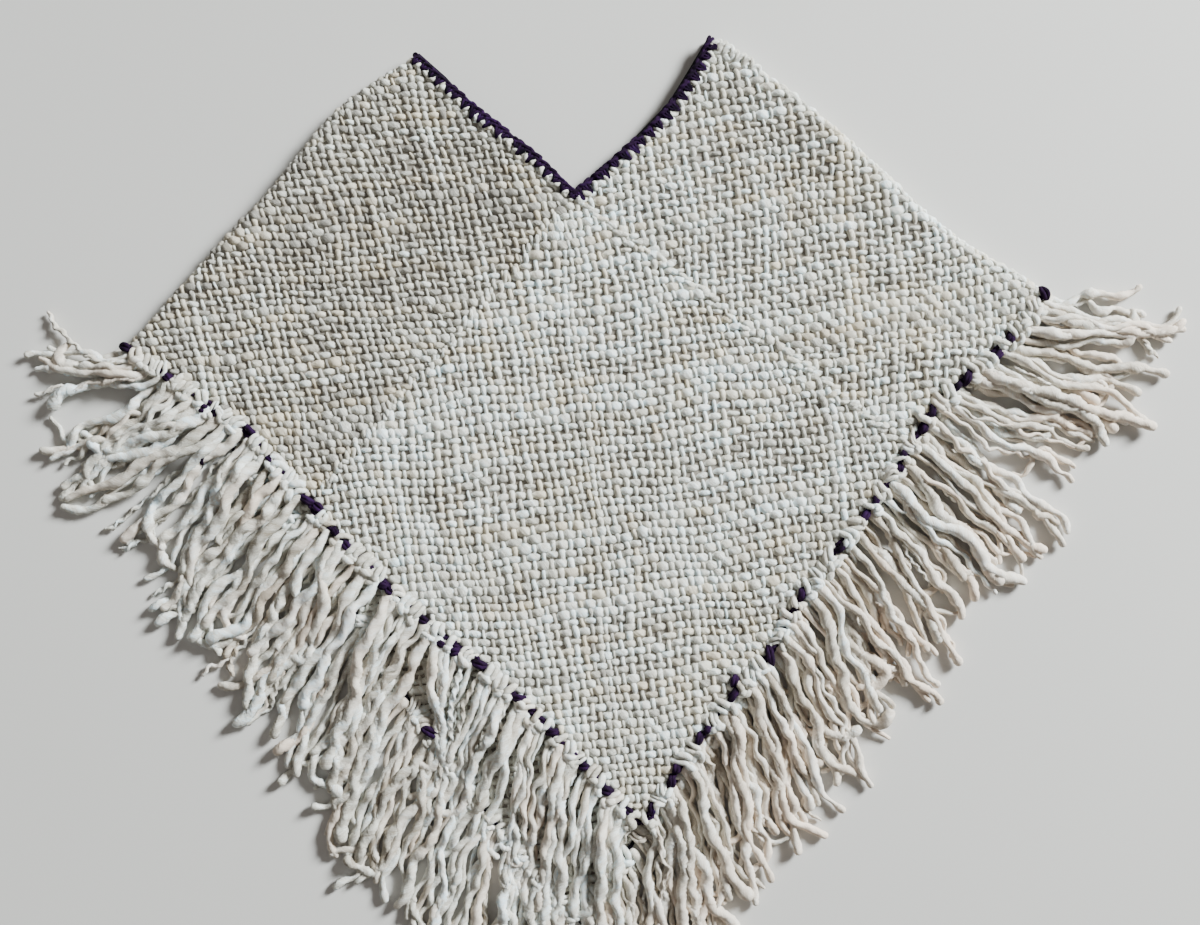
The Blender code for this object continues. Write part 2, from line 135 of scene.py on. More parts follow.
class Line:
    """A smooth plan line through a few points, read by its share of length."""

    def __init__(self, *spots):
        spots = np.array(spots, float)
        run_up = np.vstack([2 * spots[0] - spots[1], spots, 2 * spots[-1] - spots[-2]])
        t = np.linspace(0, 1, 17)[:-1, None]
        parts = []
        for a, b, c, d in zip(run_up, run_up[1:], run_up[2:], run_up[3:]):
            third = np.linalg.norm(c - b) / 3
            leave = b + unit(c - a) * third
            arrive = c - unit(d - b) * third
            pull = 3 * (1 - t) * t
            parts.append((1 - t) ** 3 * b + pull * (1 - t) * leave + pull * t * arrive + t**3 * c)
        self.points = np.vstack([*parts, spots[-1:]])
        self.run = np.concatenate([[0], np.cumsum(np.linalg.norm(np.diff(self.points, axis=0), axis=1))])
        self.length = self.run[-1]

    def at(self, share):
        place = np.asarray(share) * self.length
        return np.stack([np.interp(place, self.run, self.points[:, k]) for k in (0, 1)], -1)

    def heading(self, share, step=0.01):
        share = np.asarray(share, float)
        return unit(self.at(np.minimum(share + step, 1)) - self.at(np.maximum(share - step, 0)))

    def outward(self, share, sign):
        along = self.heading(share)
        return np.stack([along[..., 1], -along[..., 0]], -1) * sign


def named_line(start, end, bends):
    return Line(CORNERS[start], *BENDS[bends], CORNERS[end])


class Hem:
    """One hem, from its shoulder corner to the point of the poncho."""

    def __init__(self, layer, side):
        self.layer, self.side, self.sign = layer, side, SIGN[side]
        self.line = named_line(f"{side}_corner", f"{layer}_hem_point", f"{layer}_{side}_hem")
        self.base = FRONT_BASE if layer == "front" else 0.0
        count = round(self.line.length / STRAND_PITCH)
        self.split = round(count * HEM_SPLIT[layer, side]) / count

    def outward(self, share):
        return self.line.outward(share, -self.sign)

    def shoulder_part(self, share):
        return self.line.at(self.split * np.asarray(share))

    def square_part(self, share):
        return self.line.at(self.split + (1 - self.split) * np.asarray(share))


LAYERS = ("front", "back")
hems = {(layer, side): Hem(layer, side) for layer in LAYERS for side in SIDES}
necks = {
    (layer, side): named_line(f"{side}_peak", f"{layer}_neck_point", f"{layer}_{side}_neck")
    for layer in LAYERS
    for side in SIDES
}
seams = {key: Line(necks[key].at(1), hems[key].square_part(0)) for key in hems}
for key, hem in hems.items():
    print(key, "hem", round(hem.line.length), "mm, seam", round(seams[key].length), "mm")

# %% [markdown]
# ## How the cloth lies
# The front layer is nearly flat, with a few soft swells, and it rolls over the shoulders at the two
# folds. A yarn that runs off the edge of the plan has to go round the fold. So the plan is treated
# as if it went on past the fold line, and one function lays any plan point on the real surface:
# flat cloth first, then half a turn round the fold, then the underside.

# %% Swells and folds
SWELLS = (
    # (x, y, half length, half width, heading degrees, height)
    (-34, 176, 62, 34, 20, 3.6),
    (252, 88, 88, 26, 14, 4.2),
    (218, 168, 74, 24, -34, 2.6),
    (-190, 6, 74, 34, 44, 2.4),
    (58, -40, 120, 46, 62, 2.2),
    (-112, -20, 92, 36, 118, 1.8),
    (-238, 140, 84, 30, 48, 2.2),
    (64, 210, 70, 28, -40, 2.0),
)


def swell_at(spots):
    lift = np.zeros(spots.shape[:-1])
    for x, y, half_length, half_width, heading, height in SWELLS:
        turn = math.radians(heading)
        dx, dy = spots[..., 0] - x, spots[..., 1] - y
        along = (dx * math.cos(turn) + dy * math.sin(turn)) / half_length
        across = (dy * math.cos(turn) - dx * math.sin(turn)) / half_width
        lift += height * ease(1 - np.hypot(along, across))
    return lift


class Fold:
    """A shoulder fold, with how far in from it a plan point lies."""

    def __init__(self, side):
        self.line = named_line(f"{side}_peak", f"{side}_corner", f"{side}_fold")
        self.share = np.linspace(0, 1, 240)
        self.spots = self.line.at(self.share)
        self.along = self.line.heading(self.share)
        self.inward = self.line.outward(self.share, SIGN[side])

    def radius(self, share):
        return (FLAT_FOLD + FOLD_SWELL * np.sin(math.pi * np.clip(share, 0, 1))) / 2

    def measure(self, spots):
        """Foot on the fold, inward direction, inward distance and fold radius of each point."""
        near = np.argmin(((spots[:, None] - self.spots[None]) ** 2).sum(-1), axis=1)
        away = spots - self.spots[near]
        slide = (away * self.along[near]).sum(-1)
        foot = self.spots[near] + self.along[near] * slide[:, None]
        inward = self.inward[near]
        share = self.share[near] + slide / self.line.length
        return foot, inward, (away * inward).sum(-1), self.radius(share)


folds = {side: Fold(side) for side in SIDES}


def lay_front(spots):
    """Surface points and normals of the front layer, for plan points that may run past a fold."""
    shape = spots.shape[:-1]
    spots = spots.reshape(-1, 2)
    lift = swell_at(spots)
    surface = np.column_stack([spots, FRONT_TOP + lift])
    normals = np.tile((0.0, 0.0, 1.0), (len(spots), 1))
    for fold in folds.values():
        foot, inward, depth, radius = fold.measure(spots)
        past = depth - radius
        near = ease(1 - past / SWELL_REACH)
        raised = surface[:, 2] + (2 * radius - FRONT_TOP - lift) * near
        surface[:, 2] = np.where(past > 0, raised, surface[:, 2])
        turn = np.clip(-past / radius, 0, math.pi)
        beyond = np.maximum(-past - math.pi * radius, 0)
        back_in = radius - radius * np.sin(turn) + beyond
        round_fold = np.column_stack([foot + inward * back_in[:, None], radius * (1 + np.cos(turn))])
        facing = np.column_stack([-inward * np.sin(turn)[:, None], np.cos(turn)])
        turned = (past <= 0)[:, None]
        surface = np.where(turned, round_fold, surface)
        normals = np.where(turned, facing, normals)
    return surface.reshape(*shape, 3), normals.reshape(*shape, 3)


def lay_back(spots):
    """Surface points and normals of the back layer's upper side."""
    surface = np.concatenate([spots, np.full((*spots.shape[:-1], 1), WALL)], -1)
    normals = np.zeros_like(surface)
    normals[..., 2] = 1.0
    return surface, normals


print("highest fold, mm:", max(float(2 * fold.radius(0.5)) for fold in folds.values()))

# %% [markdown]
# ## Shader maths as sums
# A material here is written the way a sum is written. A small class stands for one socket, and the
# signs of Python add Math nodes to it. One other method adds any node by its type.

# %% A socket that can be added and multiplied


class Wire:
    """A number on its way through a material."""

    def __init__(self, recipe, socket):
        self.recipe, self.socket = recipe, socket

    def maths(self, operation, *values):
        return self.recipe.add("ShaderNodeMath", {"operation": operation}, dict(enumerate(values)))

    def __add__(self, other):
        return self.maths("ADD", self, other)

    def __sub__(self, other):
        return self.maths("SUBTRACT", self, other)

    def __rsub__(self, other):
        return self.maths("SUBTRACT", other, self)

    def __mul__(self, other):
        return self.maths("MULTIPLY", self, other)

    __radd__ = __add__
    __rmul__ = __mul__

    def sine(self):
        return self.maths("SINE", self)

    def cosine(self):
        return self.maths("COSINE", self)

    def clamp(self):
        return self.recipe.add("ShaderNodeClamp", {}, {"Value": self})


class Recipe:
    """One material and its nodes."""

    def __init__(self, name, roughness, sheen, shine=0.2):
        self.material = bpy.data.materials.new(name)
        self.material.use_nodes = True
        self.tree = self.material.node_tree
        self.shader = self.tree.nodes["Principled BSDF"]
        self.shader.inputs["Roughness"].default_value = roughness
        self.shader.inputs["Sheen Weight"].default_value = sheen
        self.shader.inputs["Sheen Roughness"].default_value = 0.5
        self.shader.inputs["Specular IOR Level"].default_value = shine

    def feed(self, socket, value):
        if isinstance(value, Wire):
            self.tree.links.new(value.socket, socket)
        elif hasattr(value, "__len__") and len(value) == 3 and socket.type == "RGBA":
            socket.default_value = (*value, 1)
        else:
            socket.default_value = value

    def add(self, kind, settings, values, output=0):
        node = self.tree.nodes.new(kind)
        for name, value in settings.items():
            setattr(node, name, value)
        for name, value in values.items():
            self.feed(node.inputs[name], value)
        return Wire(self, node.outputs[output])

    def attribute(self, name, output="Fac"):
        settings = {"attribute_type": "GEOMETRY", "attribute_name": name}
        return self.add("ShaderNodeAttribute", settings, {}, output)

    def blend(self, share, low, high):
        values = {0: share, 6: low, 7: high}
        return self.add("ShaderNodeMix", {"data_type": "RGBA"}, values, 2)

    def vector(self, x, y, z):
        return self.add("ShaderNodeCombineXYZ", {}, {"X": x, "Y": y, "Z": z})

    def noise(self, place, scale, detail=2.0):
        values = {"Vector": place, "Scale": scale, "Detail": detail}
        return self.add("ShaderNodeTexNoise", {}, values, 0)

    def here(self):
        return self.add("ShaderNodeTexCoord", {}, {}, "Object")

    def parts(self, vector):
        return [self.add("ShaderNodeSeparateXYZ", {}, {"Vector": vector}, k) for k in range(3)]

    def surface(self, colour, height, bump_strength, bump_depth):
        normal = self.add(
            "ShaderNodeBump",
            {},
            {"Strength": bump_strength, "Distance": bump_depth, "Height": height},
        )
        self.feed(self.shader.inputs["Base Color"], colour)
        self.feed(self.shader.inputs["Normal"], normal)
        return self.material


# %% [markdown]
# ## Wool
# Hand-spun wool is soft, matt and uneven: each yarn has its own cream, some stretches are yellower,
# and its fibres wind round it in a slow twist. Every yarn carries three facts in its mesh: `tone`,
# `warm` and `spin`. Spin is the place round and along the yarn, and turning it as the yarn goes on
# makes a fibre noise that winds with the twist. The colour runs from dark through a warm cream to
# pale, because shaded wool looks warmer than wool in full light.

# %% The wool material
WOOL_ROUGHNESS = 0.92
BUMP_DEPTH = 0.0011
# How much each of these changes the lightness of the wool, and how much it raises the surface.
FIBRES_LIGHTEN, FUZZ_LIGHTENS, PATCHES_LIGHTEN, PLY_GROOVE_SHADE = 1.1, 0.5, 0.5, 0.25
FUZZ_RAISES, PLIES_RAISE = 0.6, 0.5
# Here and there the palest wool is painted cooler: a painted cool tint of daylight on the brightest wool.
COOLNESS, COOLER = 0.9, (0.82, 0.97, 1.1)
# The cream is mixed of the dark and the pale, and made warmer. The ramps meet at a lightness of 0.62.
DARK_PART, PALE_PART, WARMER = 0.38, 0.62, (1.035, 0.995, 0.93)
TO_CREAM, TO_PALE = 1.6, 2.6
MOST_YELLOW = 0.8


def wool(name, dark, light, yellow, twist, sheen, bump, shine=0.5):
    recipe = Recipe(name, WOOL_ROUGHNESS, sheen, shine)
    tone, warm = recipe.attribute("tone"), recipe.attribute("warm")
    x, y, along = recipe.parts(recipe.attribute("spin", "Vector"))
    turn = along * twist
    wound_x = x * turn.cosine() - y * turn.sine()
    wound_y = x * turn.sine() + y * turn.cosine()
    # Round the yarn this rises and falls twice, like two plies.
    plies = wound_x * wound_y
    fibres = recipe.noise(recipe.vector(wound_x, wound_y, along * 0.09), 3.4, 3.0)
    fuzz = recipe.noise(recipe.here(), 1400.0, 2.0)
    patches = recipe.noise(recipe.here(), 90.0, 2.0)
    lightness = tone + (fibres - 0.5) * FIBRES_LIGHTEN + (fuzz - 0.5) * FUZZ_LIGHTENS
    # The plies are painted lighter on their crowns and darker in the grooves between them: painted shade.
    lightness = lightness + (patches - 0.5) * PATCHES_LIGHTEN + plies * PLY_GROOVE_SHADE
    cool = ((recipe.noise(recipe.here(), 210.0, 3.0) - 0.44) * 5).clamp()
    palest = recipe.blend(cool * COOLNESS, light, tuple(min(p * c, 1.0) for p, c in zip(light, COOLER)))
    cream = tuple((d * DARK_PART + p * PALE_PART) * w for d, p, w in zip(dark, light, WARMER))
    colour = recipe.blend((lightness * TO_CREAM).clamp(), dark, cream)
    colour = recipe.blend((lightness * TO_PALE - TO_CREAM).clamp(), colour, palest)
    colour = recipe.blend((warm * MOST_YELLOW).clamp(), colour, yellow)
    return recipe.surface(colour, fibres + fuzz * FUZZ_RAISES + plies * PLIES_RAISE, bump, BUMP_DEPTH)


cloth_wool = wool(
    "cream_cloth_wool",
    dark=(0.255, 0.237, 0.208),
    light=(0.935, 0.97, 0.94),
    yellow=(0.74, 0.64, 0.47),
    twist=0.5,
    sheen=0.06,
    bump=0.8,
)
fringe_wool = wool(
    "cream_fringe_wool",
    dark=(0.315, 0.265, 0.2),
    light=(0.885, 0.935, 0.93),
    yellow=(0.86, 0.71, 0.58),
    twist=0.42,
    sheen=0.10,
    bump=0.6,
)
purple_wool = wool(
    "dark_purple_wool",
    dark=(0.001, 0.0003, 0.003),
    light=(0.025, 0.0062, 0.043),
    yellow=(0.03, 0.01, 0.03),
    twist=0.6,
    sheen=0.0,
    bump=0.6,
    shine=0.12,
)
print("wool materials:", cloth_wool.name, fringe_wool.name, purple_wool.name)

# %% [markdown]
# The sheet in the middle of each square fills the gaps between the yarns. From above it is only
# seen as small dark holes, so it is painted shade: a dark taupe with a grain like matted fibre. Its
# underside has no yarns of its own, so it gets the look of the weave from a pattern of sines, with a
# bump, and with painted shade in the grooves between the ridges.

# %% Backing and underside materials


def painted_gap_shade():
    recipe = Recipe("painted_shade_between_yarns", 0.95, 0.1)
    grain = recipe.noise(recipe.here(), 500.0, 4.0)
    # Painted shade: the dark taupe stands for the shade in the gaps between the yarns.
    colour = recipe.blend(grain, (0.156, 0.139, 0.116), (0.332, 0.3, 0.258))
    return recipe.surface(colour, grain, 0.5, 0.0005)


def underside_weave(pitch=0.0068):
    recipe = Recipe("woven_underside", 0.93, 0.3)
    x, y, _ = recipe.parts(recipe.here())
    wave = math.pi / pitch
    row, column = (y * wave - x * wave * 0.12).sine(), (x * wave + y * wave * 0.12).sine()
    over = (row * column + 1) * 0.5
    ridges = over * row * row + (1 - over) * column * column
    grain = recipe.noise(recipe.here(), 700.0, 3.0)
    # The grooves between the ridges are painted dark: painted shade between the yarns.
    lightness = (ridges * 0.8 + grain * 0.35).clamp()
    colour = recipe.blend(lightness, (0.15, 0.125, 0.09), (0.76, 0.72, 0.62))
    return recipe.surface(colour, ridges + grain * 0.25, 0.8, 0.0018)


backing = painted_gap_shade()
underside = underside_weave()

# %% [markdown]
# ## From yarns to a mesh
# A yarn is a line of points with a width and a height at each. It could be a curve with a bevel,
# but a bevel is round and the same all along, and these yarns are flattened and lumpy. So each yarn
# is built as rings of points. Its faces are also laid out flat, side by side, as a strip map.

# %% Rings round a line


def wander(count, step, dice):
    """A smooth random run of values, with a new value every `step` places."""
    marks = dice.normal(size=int(count / step) + 4)
    return smooth_run(marks, np.arange(count) / step)


def smooth_run(marks, place):
    """Reads a run of marks at places between them, on a smooth curve."""
    k = np.clip(np.floor(place).astype(int), 0, len(marks) - 2)
    t = (place - k).reshape(-1, *[1] * (marks.ndim - 1))
    a, b = marks[np.maximum(k - 1, 0)], marks[k]
    c, d = marks[k + 1], marks[np.minimum(k + 2, len(marks) - 1)]
    return b + 0.5 * t * (c - a + t * (2 * a - 5 * b + 4 * c - d + t * (3 * (b - c) + d - a)))


# A blunt end is two more rings, drawn in like a quarter circle: how far out, and how wide.
END_REACH, END_SIZE = np.array([0.88, 0.6]), np.array([0.47, 0.8])
# On the strip map: room between strips, and the place and size of the two end caps.
STRIP_ROOM, CAP_PLACE, CAP_SIZE = 1.12, 0.24, 0.2


class Skein:
    """Gathers yarns and makes one piece of them."""

    def __init__(self, sides):
        self.sides = sides
        self.yarns = []

    def add(self, points, ups, wide, high, tone, warm, round_ends=False):
        points = np.asarray(points, float)
        count = len(points)
        wide, high, tone, warm = (np.broadcast_to(v, count).astype(float) for v in (wide, high, tone, warm))
        ups = np.broadcast_to(ups, (count, 3)).astype(float)
        if round_ends:
            away = unit(np.array([points[0] - points[1], points[-1] - points[-2]]))
            first = points[0] + away[0] * (wide[0] * END_REACH)[:, None]
            last = points[-1] + away[1] * (wide[-1] * END_REACH[::-1])[:, None]
            points = np.vstack([first, points, last])
            wide = np.concatenate([wide[0] * END_SIZE, wide, wide[-1] * END_SIZE[::-1]])
            high = np.concatenate([high[0] * END_SIZE, high, high[-1] * END_SIZE[::-1]])
            pad = (2, 2)
            tone, warm = np.pad(tone, pad, "edge"), np.pad(warm, pad, "edge")
            ups = np.pad(ups, (pad, (0, 0)), "edge")
        self.yarns.append((points, ups, wide, high, tone, warm))

    def rings(self, yarn):
        points, ups, wide, high = yarn[:4]
        along = unit(np.gradient(points, axis=0))
        side = unit(np.cross(along, ups))
        up = np.cross(side, along)
        turn = np.arange(self.sides) / self.sides * math.tau
        across = side[:, None] * (np.cos(turn)[None, :, None] * wide[:, None, None])
        upward = up[:, None] * (np.sin(turn)[None, :, None] * high[:, None, None])
        return points[:, None] + across + upward

    def make(self, name, material, slot):
        sides = self.sides
        turn = np.arange(sides) / sides * math.tau
        # The strip is as wide as the usual yarn is round.
        round_mm = np.mean([yarn[2].mean() + yarn[3].mean() for yarn in self.yarns]) * math.pi
        strip = max(float(round_mm), 1.0)
        runs = []
        for points, _, wide, *_ in self.yarns:
            steps = np.linalg.norm(np.diff(points, axis=0), axis=1)
            runs.append(np.concatenate([[0], np.cumsum(steps)]))
        corners, size = pack_strips([run[-1] + strip for run in runs], strip * STRIP_ROOM)

        verts, tones, warms, spins = [], [], [], []
        faces, starts, maps = [], [], []
        first = loops = 0
        for yarn, run, (left, low) in zip(self.yarns, runs, corners):
            count = len(run)
            verts.append(self.rings(yarn).reshape(-1, 3))
            tones.append(np.repeat(yarn[4], sides))
            warms.append(np.repeat(yarn[5], sides))
            spin = np.empty((count, sides, 3))
            spin[..., 0], spin[..., 1], spin[..., 2] = np.cos(turn), np.sin(turn), run[:, None]
            spins.append(spin.reshape(-1, 3))

            ring, side = np.meshgrid(np.arange(count - 1), np.arange(sides), indexing="ij")
            after = (side + 1) % sides
            this, next_ring = ring * sides, ring * sides + sides
            quads = np.stack([this + side, next_ring + side, next_ring + after, this + after], -1)
            caps = np.concatenate([np.arange(sides), (count - 1) * sides + np.arange(sides)[::-1]])
            faces.append(np.concatenate([quads.reshape(-1), caps]) + first)
            quad_starts = np.arange(quads.size // 4) * 4
            starts.append(np.concatenate([quad_starts, [quads.size, quads.size + sides]]) + loops)

            along = left + strip / 2 + np.stack([run[ring], run[ring + 1], run[ring + 1], run[ring]], -1)
            round_it = low + strip * np.stack([side, side, side + 1, side + 1], -1) / sides
            cap_x = np.cos(turn) * strip * CAP_SIZE
            cap_y = low + strip / 2 + np.sin(turn) * strip * CAP_SIZE
            near_cap = np.column_stack([left + strip * CAP_PLACE + cap_x, cap_y])
            far_cap = np.column_stack([left + strip * (1 - CAP_PLACE) + run[-1] + cap_x, cap_y])[::-1]
            maps += [np.stack([along, round_it], -1).reshape(-1, 2), near_cap, far_cap]
            first += count * sides
            loops += quads.size + 2 * sides

        piece = make_piece(
            name,
            np.vstack(verts),
            np.concatenate(faces),
            np.concatenate(starts),
            {"tone": np.concatenate(tones), "warm": np.concatenate(warms), "spin": np.vstack(spins)},
            np.vstack(maps) / size,
        )
        piece.data.materials.append(material)
        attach(piece, "root")
        print(f"{name}: {len(self.yarns)} yarns, {triangles(piece)} triangles")
        return piece


def pack_strips(lengths, height):
    """Where each strip goes on a square sheet: longest first, each in the first row with room."""
    lengths = np.array(lengths) * 1.01
    side = max(math.sqrt(float(lengths.sum()) * height) * 1.06, float(lengths.max()))
    rows, places = [], [None] * len(lengths)
    for k in np.argsort(-lengths, kind="stable"):
        for row, used in enumerate(rows):
            if used + lengths[k] <= side:
                break
        else:
            rows.append(0.0)
            row, used = len(rows) - 1, 0.0
        places[k] = (used, row * height)
        rows[row] = used + lengths[k]
    return places, max(side, len(rows) * height) * 1.001


def make_piece(name, verts, corners, starts, attributes=(), flat_map=None):
    """A mesh object from flat arrays. The points come in millimetres in the plan."""
    mesh = bpy.data.meshes.new(name)
    mesh.vertices.add(len(verts))
    mesh.vertices.foreach_set("co", ((verts + SHIFT) * 0.001).astype(np.float32).ravel())
    mesh.loops.add(len(corners))
    mesh.loops.foreach_set("vertex_index", corners.astype(np.int32))
    mesh.polygons.add(len(starts))
    mesh.polygons.foreach_set("loop_start", starts.astype(np.int32))
    for key, values in dict(attributes).items():
        wide = values.ndim == 2
        attribute = mesh.attributes.new(key, "FLOAT_VECTOR" if wide else "FLOAT", "POINT")
        attribute.data.foreach_set("vector" if wide else "value", values.astype(np.float32).ravel())
    if flat_map is not None:
        mesh.uv_layers.new(name="OFBake").data.foreach_set("uv", flat_map.astype(np.float32).ravel())
    mesh.update(calc_edges=True)
    mesh.validate()
    mesh.shade_smooth()
    piece = bpy.data.objects.new(name, mesh)
    bpy.context.scene.collection.objects.link(piece)
    return piece


def triangles(piece):
    return len(piece.data.loops) - 2 * len(piece.data.polygons)


# %% [markdown]
# ## The backing sheets
# Each square starts as a thin closed sheet along the middle of its solid. It carries the name of
# the cloth. The sheet is drawn between the same four edges as the solid. On the shoulders it goes
# round the fold and back underneath.

# %% Sheets between four edges


def patch(near, far, start, end, u, v):
    """Plan points between four edges, on a grid of shares."""
    u, v = u[:, None], v[None, :]
    iu, iv = u[..., None], v[..., None]
    ruled = near(u) * (1 - iv) + far(u) * iv + start(v) * (1 - iu) + end(v) * iu
    ends = near(0) * (1 - iu) + near(1) * iu
    far_ends = far(0) * (1 - iu) + far(1) * iu
    return ruled - ends * (1 - iv) - far_ends * iv


# Depths of the sheet's two sides in the cloth, and of its outer side where that faces the floor.
SHEET_OUTER, SHEET_INNER, UNDERSIDE = 2.3, 3.7, 0.5
# The grid of a square starts this far past the start of its edges, in shares of them.
EDGE = 0.0008
BEND_STEPS = 11


def closed_sheet(name, surface, normals, outer_depth):
    """A thin closed sheet below a surface grid."""
    rows, columns = surface.shape[:2]
    outer = surface - normals * outer_depth[..., None]
    inner = surface - normals * SHEET_INNER
    index = np.arange(rows * columns).reshape(rows, columns)
    lower = index + rows * columns
    top = np.stack([index[:-1, :-1], index[1:, :-1], index[1:, 1:], index[:-1, 1:]], -1).reshape(-1, 4)
    bottom = np.stack([lower[:-1, :-1], lower[:-1, 1:], lower[1:, 1:], lower[1:, :-1]], -1).reshape(-1, 4)
    rims = []
    for edge, turned in ((index[0], 0), (index[-1], 1), (index[:, 0], 1), (index[:, -1], 0)):
        a, b = edge[:-1], edge[1:]
        step = rows * columns
        quad = [a, b, b + step, a + step]
        rims.append(np.stack(quad[::-1] if turned else quad, -1))
    quads = np.concatenate([top, bottom, *rims])
    points = np.vstack([outer.reshape(-1, 3), inner.reshape(-1, 3)])
    piece = make_piece(name, points, quads.ravel(), np.arange(len(quads)) * 4)
    piece.data.materials.append(backing)
    piece.data.materials.append(underside)
    facing_down = outer_depth.reshape(-1)[top[:, 0]] == UNDERSIDE
    which = np.zeros(len(quads), np.int32)
    which[: len(top)] = facing_down
    piece.data.polygons.foreach_set("material_index", which)
    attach(piece, "root")
    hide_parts(name.replace("_cloth", ""))
    print(f"{name}: {triangles(piece)} triangles")
    return piece


def square_plan(layer, shares):
    left, right = (layer, "left"), (layer, "right")
    edges = (seams[left].at, hems[right].square_part, seams[right].at, hems[left].square_part)
    return patch(*edges, shares, shares)


def shoulder_plan(layer, side, u, v):
    key = (layer, side)
    return patch(folds[side].line.at, seams[key].at, necks[key].at, hems[key].shoulder_part, u, v)


def square_sheet(layer, steps):
    plan = square_plan(layer, np.linspace(EDGE, 1, steps))
    surface, normals = (lay_front if layer == "front" else lay_back)(plan)
    outer = np.full(surface.shape[:2], SHEET_OUTER)
    if layer == "back":
        # The back square is seen from below, so its grid faces down and its outer side is there.
        surface[..., 2] = 0.0
        surface, normals = surface[:, ::-1], -normals
        outer[:] = UNDERSIDE
    return closed_sheet(f"{layer}_square_cloth", surface, normals, outer)


def shoulder_sheet(side, sections, flat_steps):
    """Front half, half a turn round the fold, and back half, as one grid."""
    fold = folds[side]
    u, v = np.linspace(0, 1, sections), np.linspace(0, 1, flat_steps)
    halves = {}
    for layer in LAYERS:
        plan = shoulder_plan(layer, side, u, v)
        depth = np.linalg.norm(plan[:, -1] - plan[:, 0], axis=1)
        start = (fold.radius(u) / depth)[:, None]
        # The flat part starts where the roll ends, and its steps are shorter there.
        shares = start + (1 - GAP / 2 / depth[:, None] - start) * v[None, :] ** 1.2
        grid = np.empty_like(plan)
        for row in range(sections):
            for axis in (0, 1):
                grid[row, :, axis] = np.interp(shares[row], v, plan[row, :, axis])
        halves[layer] = grid
    turns = np.linspace(0, math.pi, BEND_STEPS + 2)[1:-1]
    radius = fold.radius(u)
    foot, inward = fold.line.at(u), fold.line.outward(u, SIGN[side])
    bend = radius[:, None] * (1 - np.sin(turns))
    curve = foot[:, None] + inward[:, None] * bend[..., None]
    bend_surface = np.concatenate([curve, (radius[:, None] * (1 + np.cos(turns)))[..., None]], -1)
    sideways = -inward[:, None] * np.sin(turns)[None, :, None]
    upward = np.broadcast_to(np.cos(turns)[:, None], (sections, BEND_STEPS, 1))
    bend_normals = np.concatenate([sideways, upward], -1)
    front_surface, front_normals = lay_front(halves["front"])
    back_surface = np.concatenate([halves["back"], np.zeros((sections, flat_steps, 1))], -1)
    back_normals = np.zeros_like(back_surface)
    back_normals[..., 2] = -1.0
    surface = np.concatenate([front_surface[:, ::-1], bend_surface, back_surface], axis=1)
    normals = np.concatenate([front_normals[:, ::-1], bend_normals, back_normals], axis=1)
    outer = np.full(surface.shape[:2], SHEET_OUTER)
    outer[:, flat_steps + BEND_STEPS + 1 :] = UNDERSIDE
    if side == "left":
        surface, normals, outer = surface[::-1], normals[::-1], outer[::-1]
    return closed_sheet(f"{side}_shoulder_square_cloth", surface, normals, outer)


sheets = {
    "front": square_sheet("front", 49),
    "back": square_sheet("back", 25),
    "left": shoulder_sheet("left", 45, 25),
    "right": shoulder_sheet("right", 45, 25),
}

# %% [markdown]
# ## The weave
# Plain weave is a grid of crossings, and at each one either the row or the column is on top. The
# grid of each square is drawn first, with the tilt and pitch that the cloth has there. Then each
# row and each column is one yarn through its own crossings, lifted where it is on top. Yarns are cut
# where they leave the square. Rows are fat and columns thin, as in the real cloth.

# %% Grids of crossings


def ripple(spots, size, seed):
    """A slow uneven shift of plan points."""
    dice = np.random.default_rng(seed)
    shift = np.zeros_like(spots)
    for wave in (150, 90, 62, 41):
        for axis in (0, 1):
            turn, phase = dice.uniform(0, math.tau, 2)
            place = (spots[..., 0] * math.cos(turn) + spots[..., 1] * math.sin(turn)) / wave * math.tau
            shift[..., axis] += np.sin(place + phase) * size * wave / 150
    return shift


# How far the crossings stray, in mm: in slow waves, and one by one.
RIPPLE, JITTER = 1.6, 0.45


def crossings(centre, tilts, changes, pitch, size, seed, growth=0.0, pinch=0.0):
    """Plan points of a grid. The tilts of rows and columns, and their changes over 100 mm, are in
    degrees, the pitches in mm and the size in crossings each way. Rows can get closer away from the
    middle one (growth), and columns at the middle one (pinch)."""
    (rise, lean), (rise_change, lean_change), (columns, rows) = tilts, changes, size
    i = np.arange(-columns, columns + 1.0)[None, :]
    j = np.arange(-rows, rows + 1.0)[:, None]
    s = i * pitch[0] - pinch * np.tanh(i / 1.6) * np.exp(-((i / 7) ** 2))
    t = j * pitch[1] - growth * j * np.abs(j)
    rise, lean = math.radians(rise), math.radians(lean)
    x = centre[0] + s * math.cos(rise) - t * math.sin(lean) - math.radians(lean_change) * t * t / 200
    y = centre[1] + s * math.sin(rise) + t * math.cos(lean) + math.radians(rise_change) * s * s / 200
    spots = np.stack([x + 0 * y, y + 0 * x], -1)
    dice = np.random.default_rng(seed)
    return spots + ripple(spots, RIPPLE, seed) + dice.normal(size=spots.shape) * JITTER


def inside(spots, outline):
    """Which plan points lie inside a closed outline."""
    x, y = spots[..., 0], spots[..., 1]
    found = np.zeros(x.shape, bool)
    for (ax, ay), (bx, by) in zip(outline, np.roll(outline, -1, axis=0)):
        if ay == by:
            continue
        crosses = (ay > y) != (by > y)
        found ^= crosses & (x < ax + (y - ay) / (by - ay) * (bx - ax))
    return found


reading = np.linspace(0, 1, 40)
SEAM_LAP = 1.6
# The yarns of a shoulder go on past its fold, round it and 4 mm under the cloth.
PAST_FOLD = {side: (math.pi - 1) * folds[side].radius(reading) + 4 for side in SIDES}


def lapped_seam(key, lap):
    """A seam moved sideways, so that the yarns of two squares run into each other there."""
    along = seams[key].heading(reading)
    return seams[key].at(reading) + np.column_stack([-along[:, 1], along[:, 0]]) * SIGN[key[1]] * lap


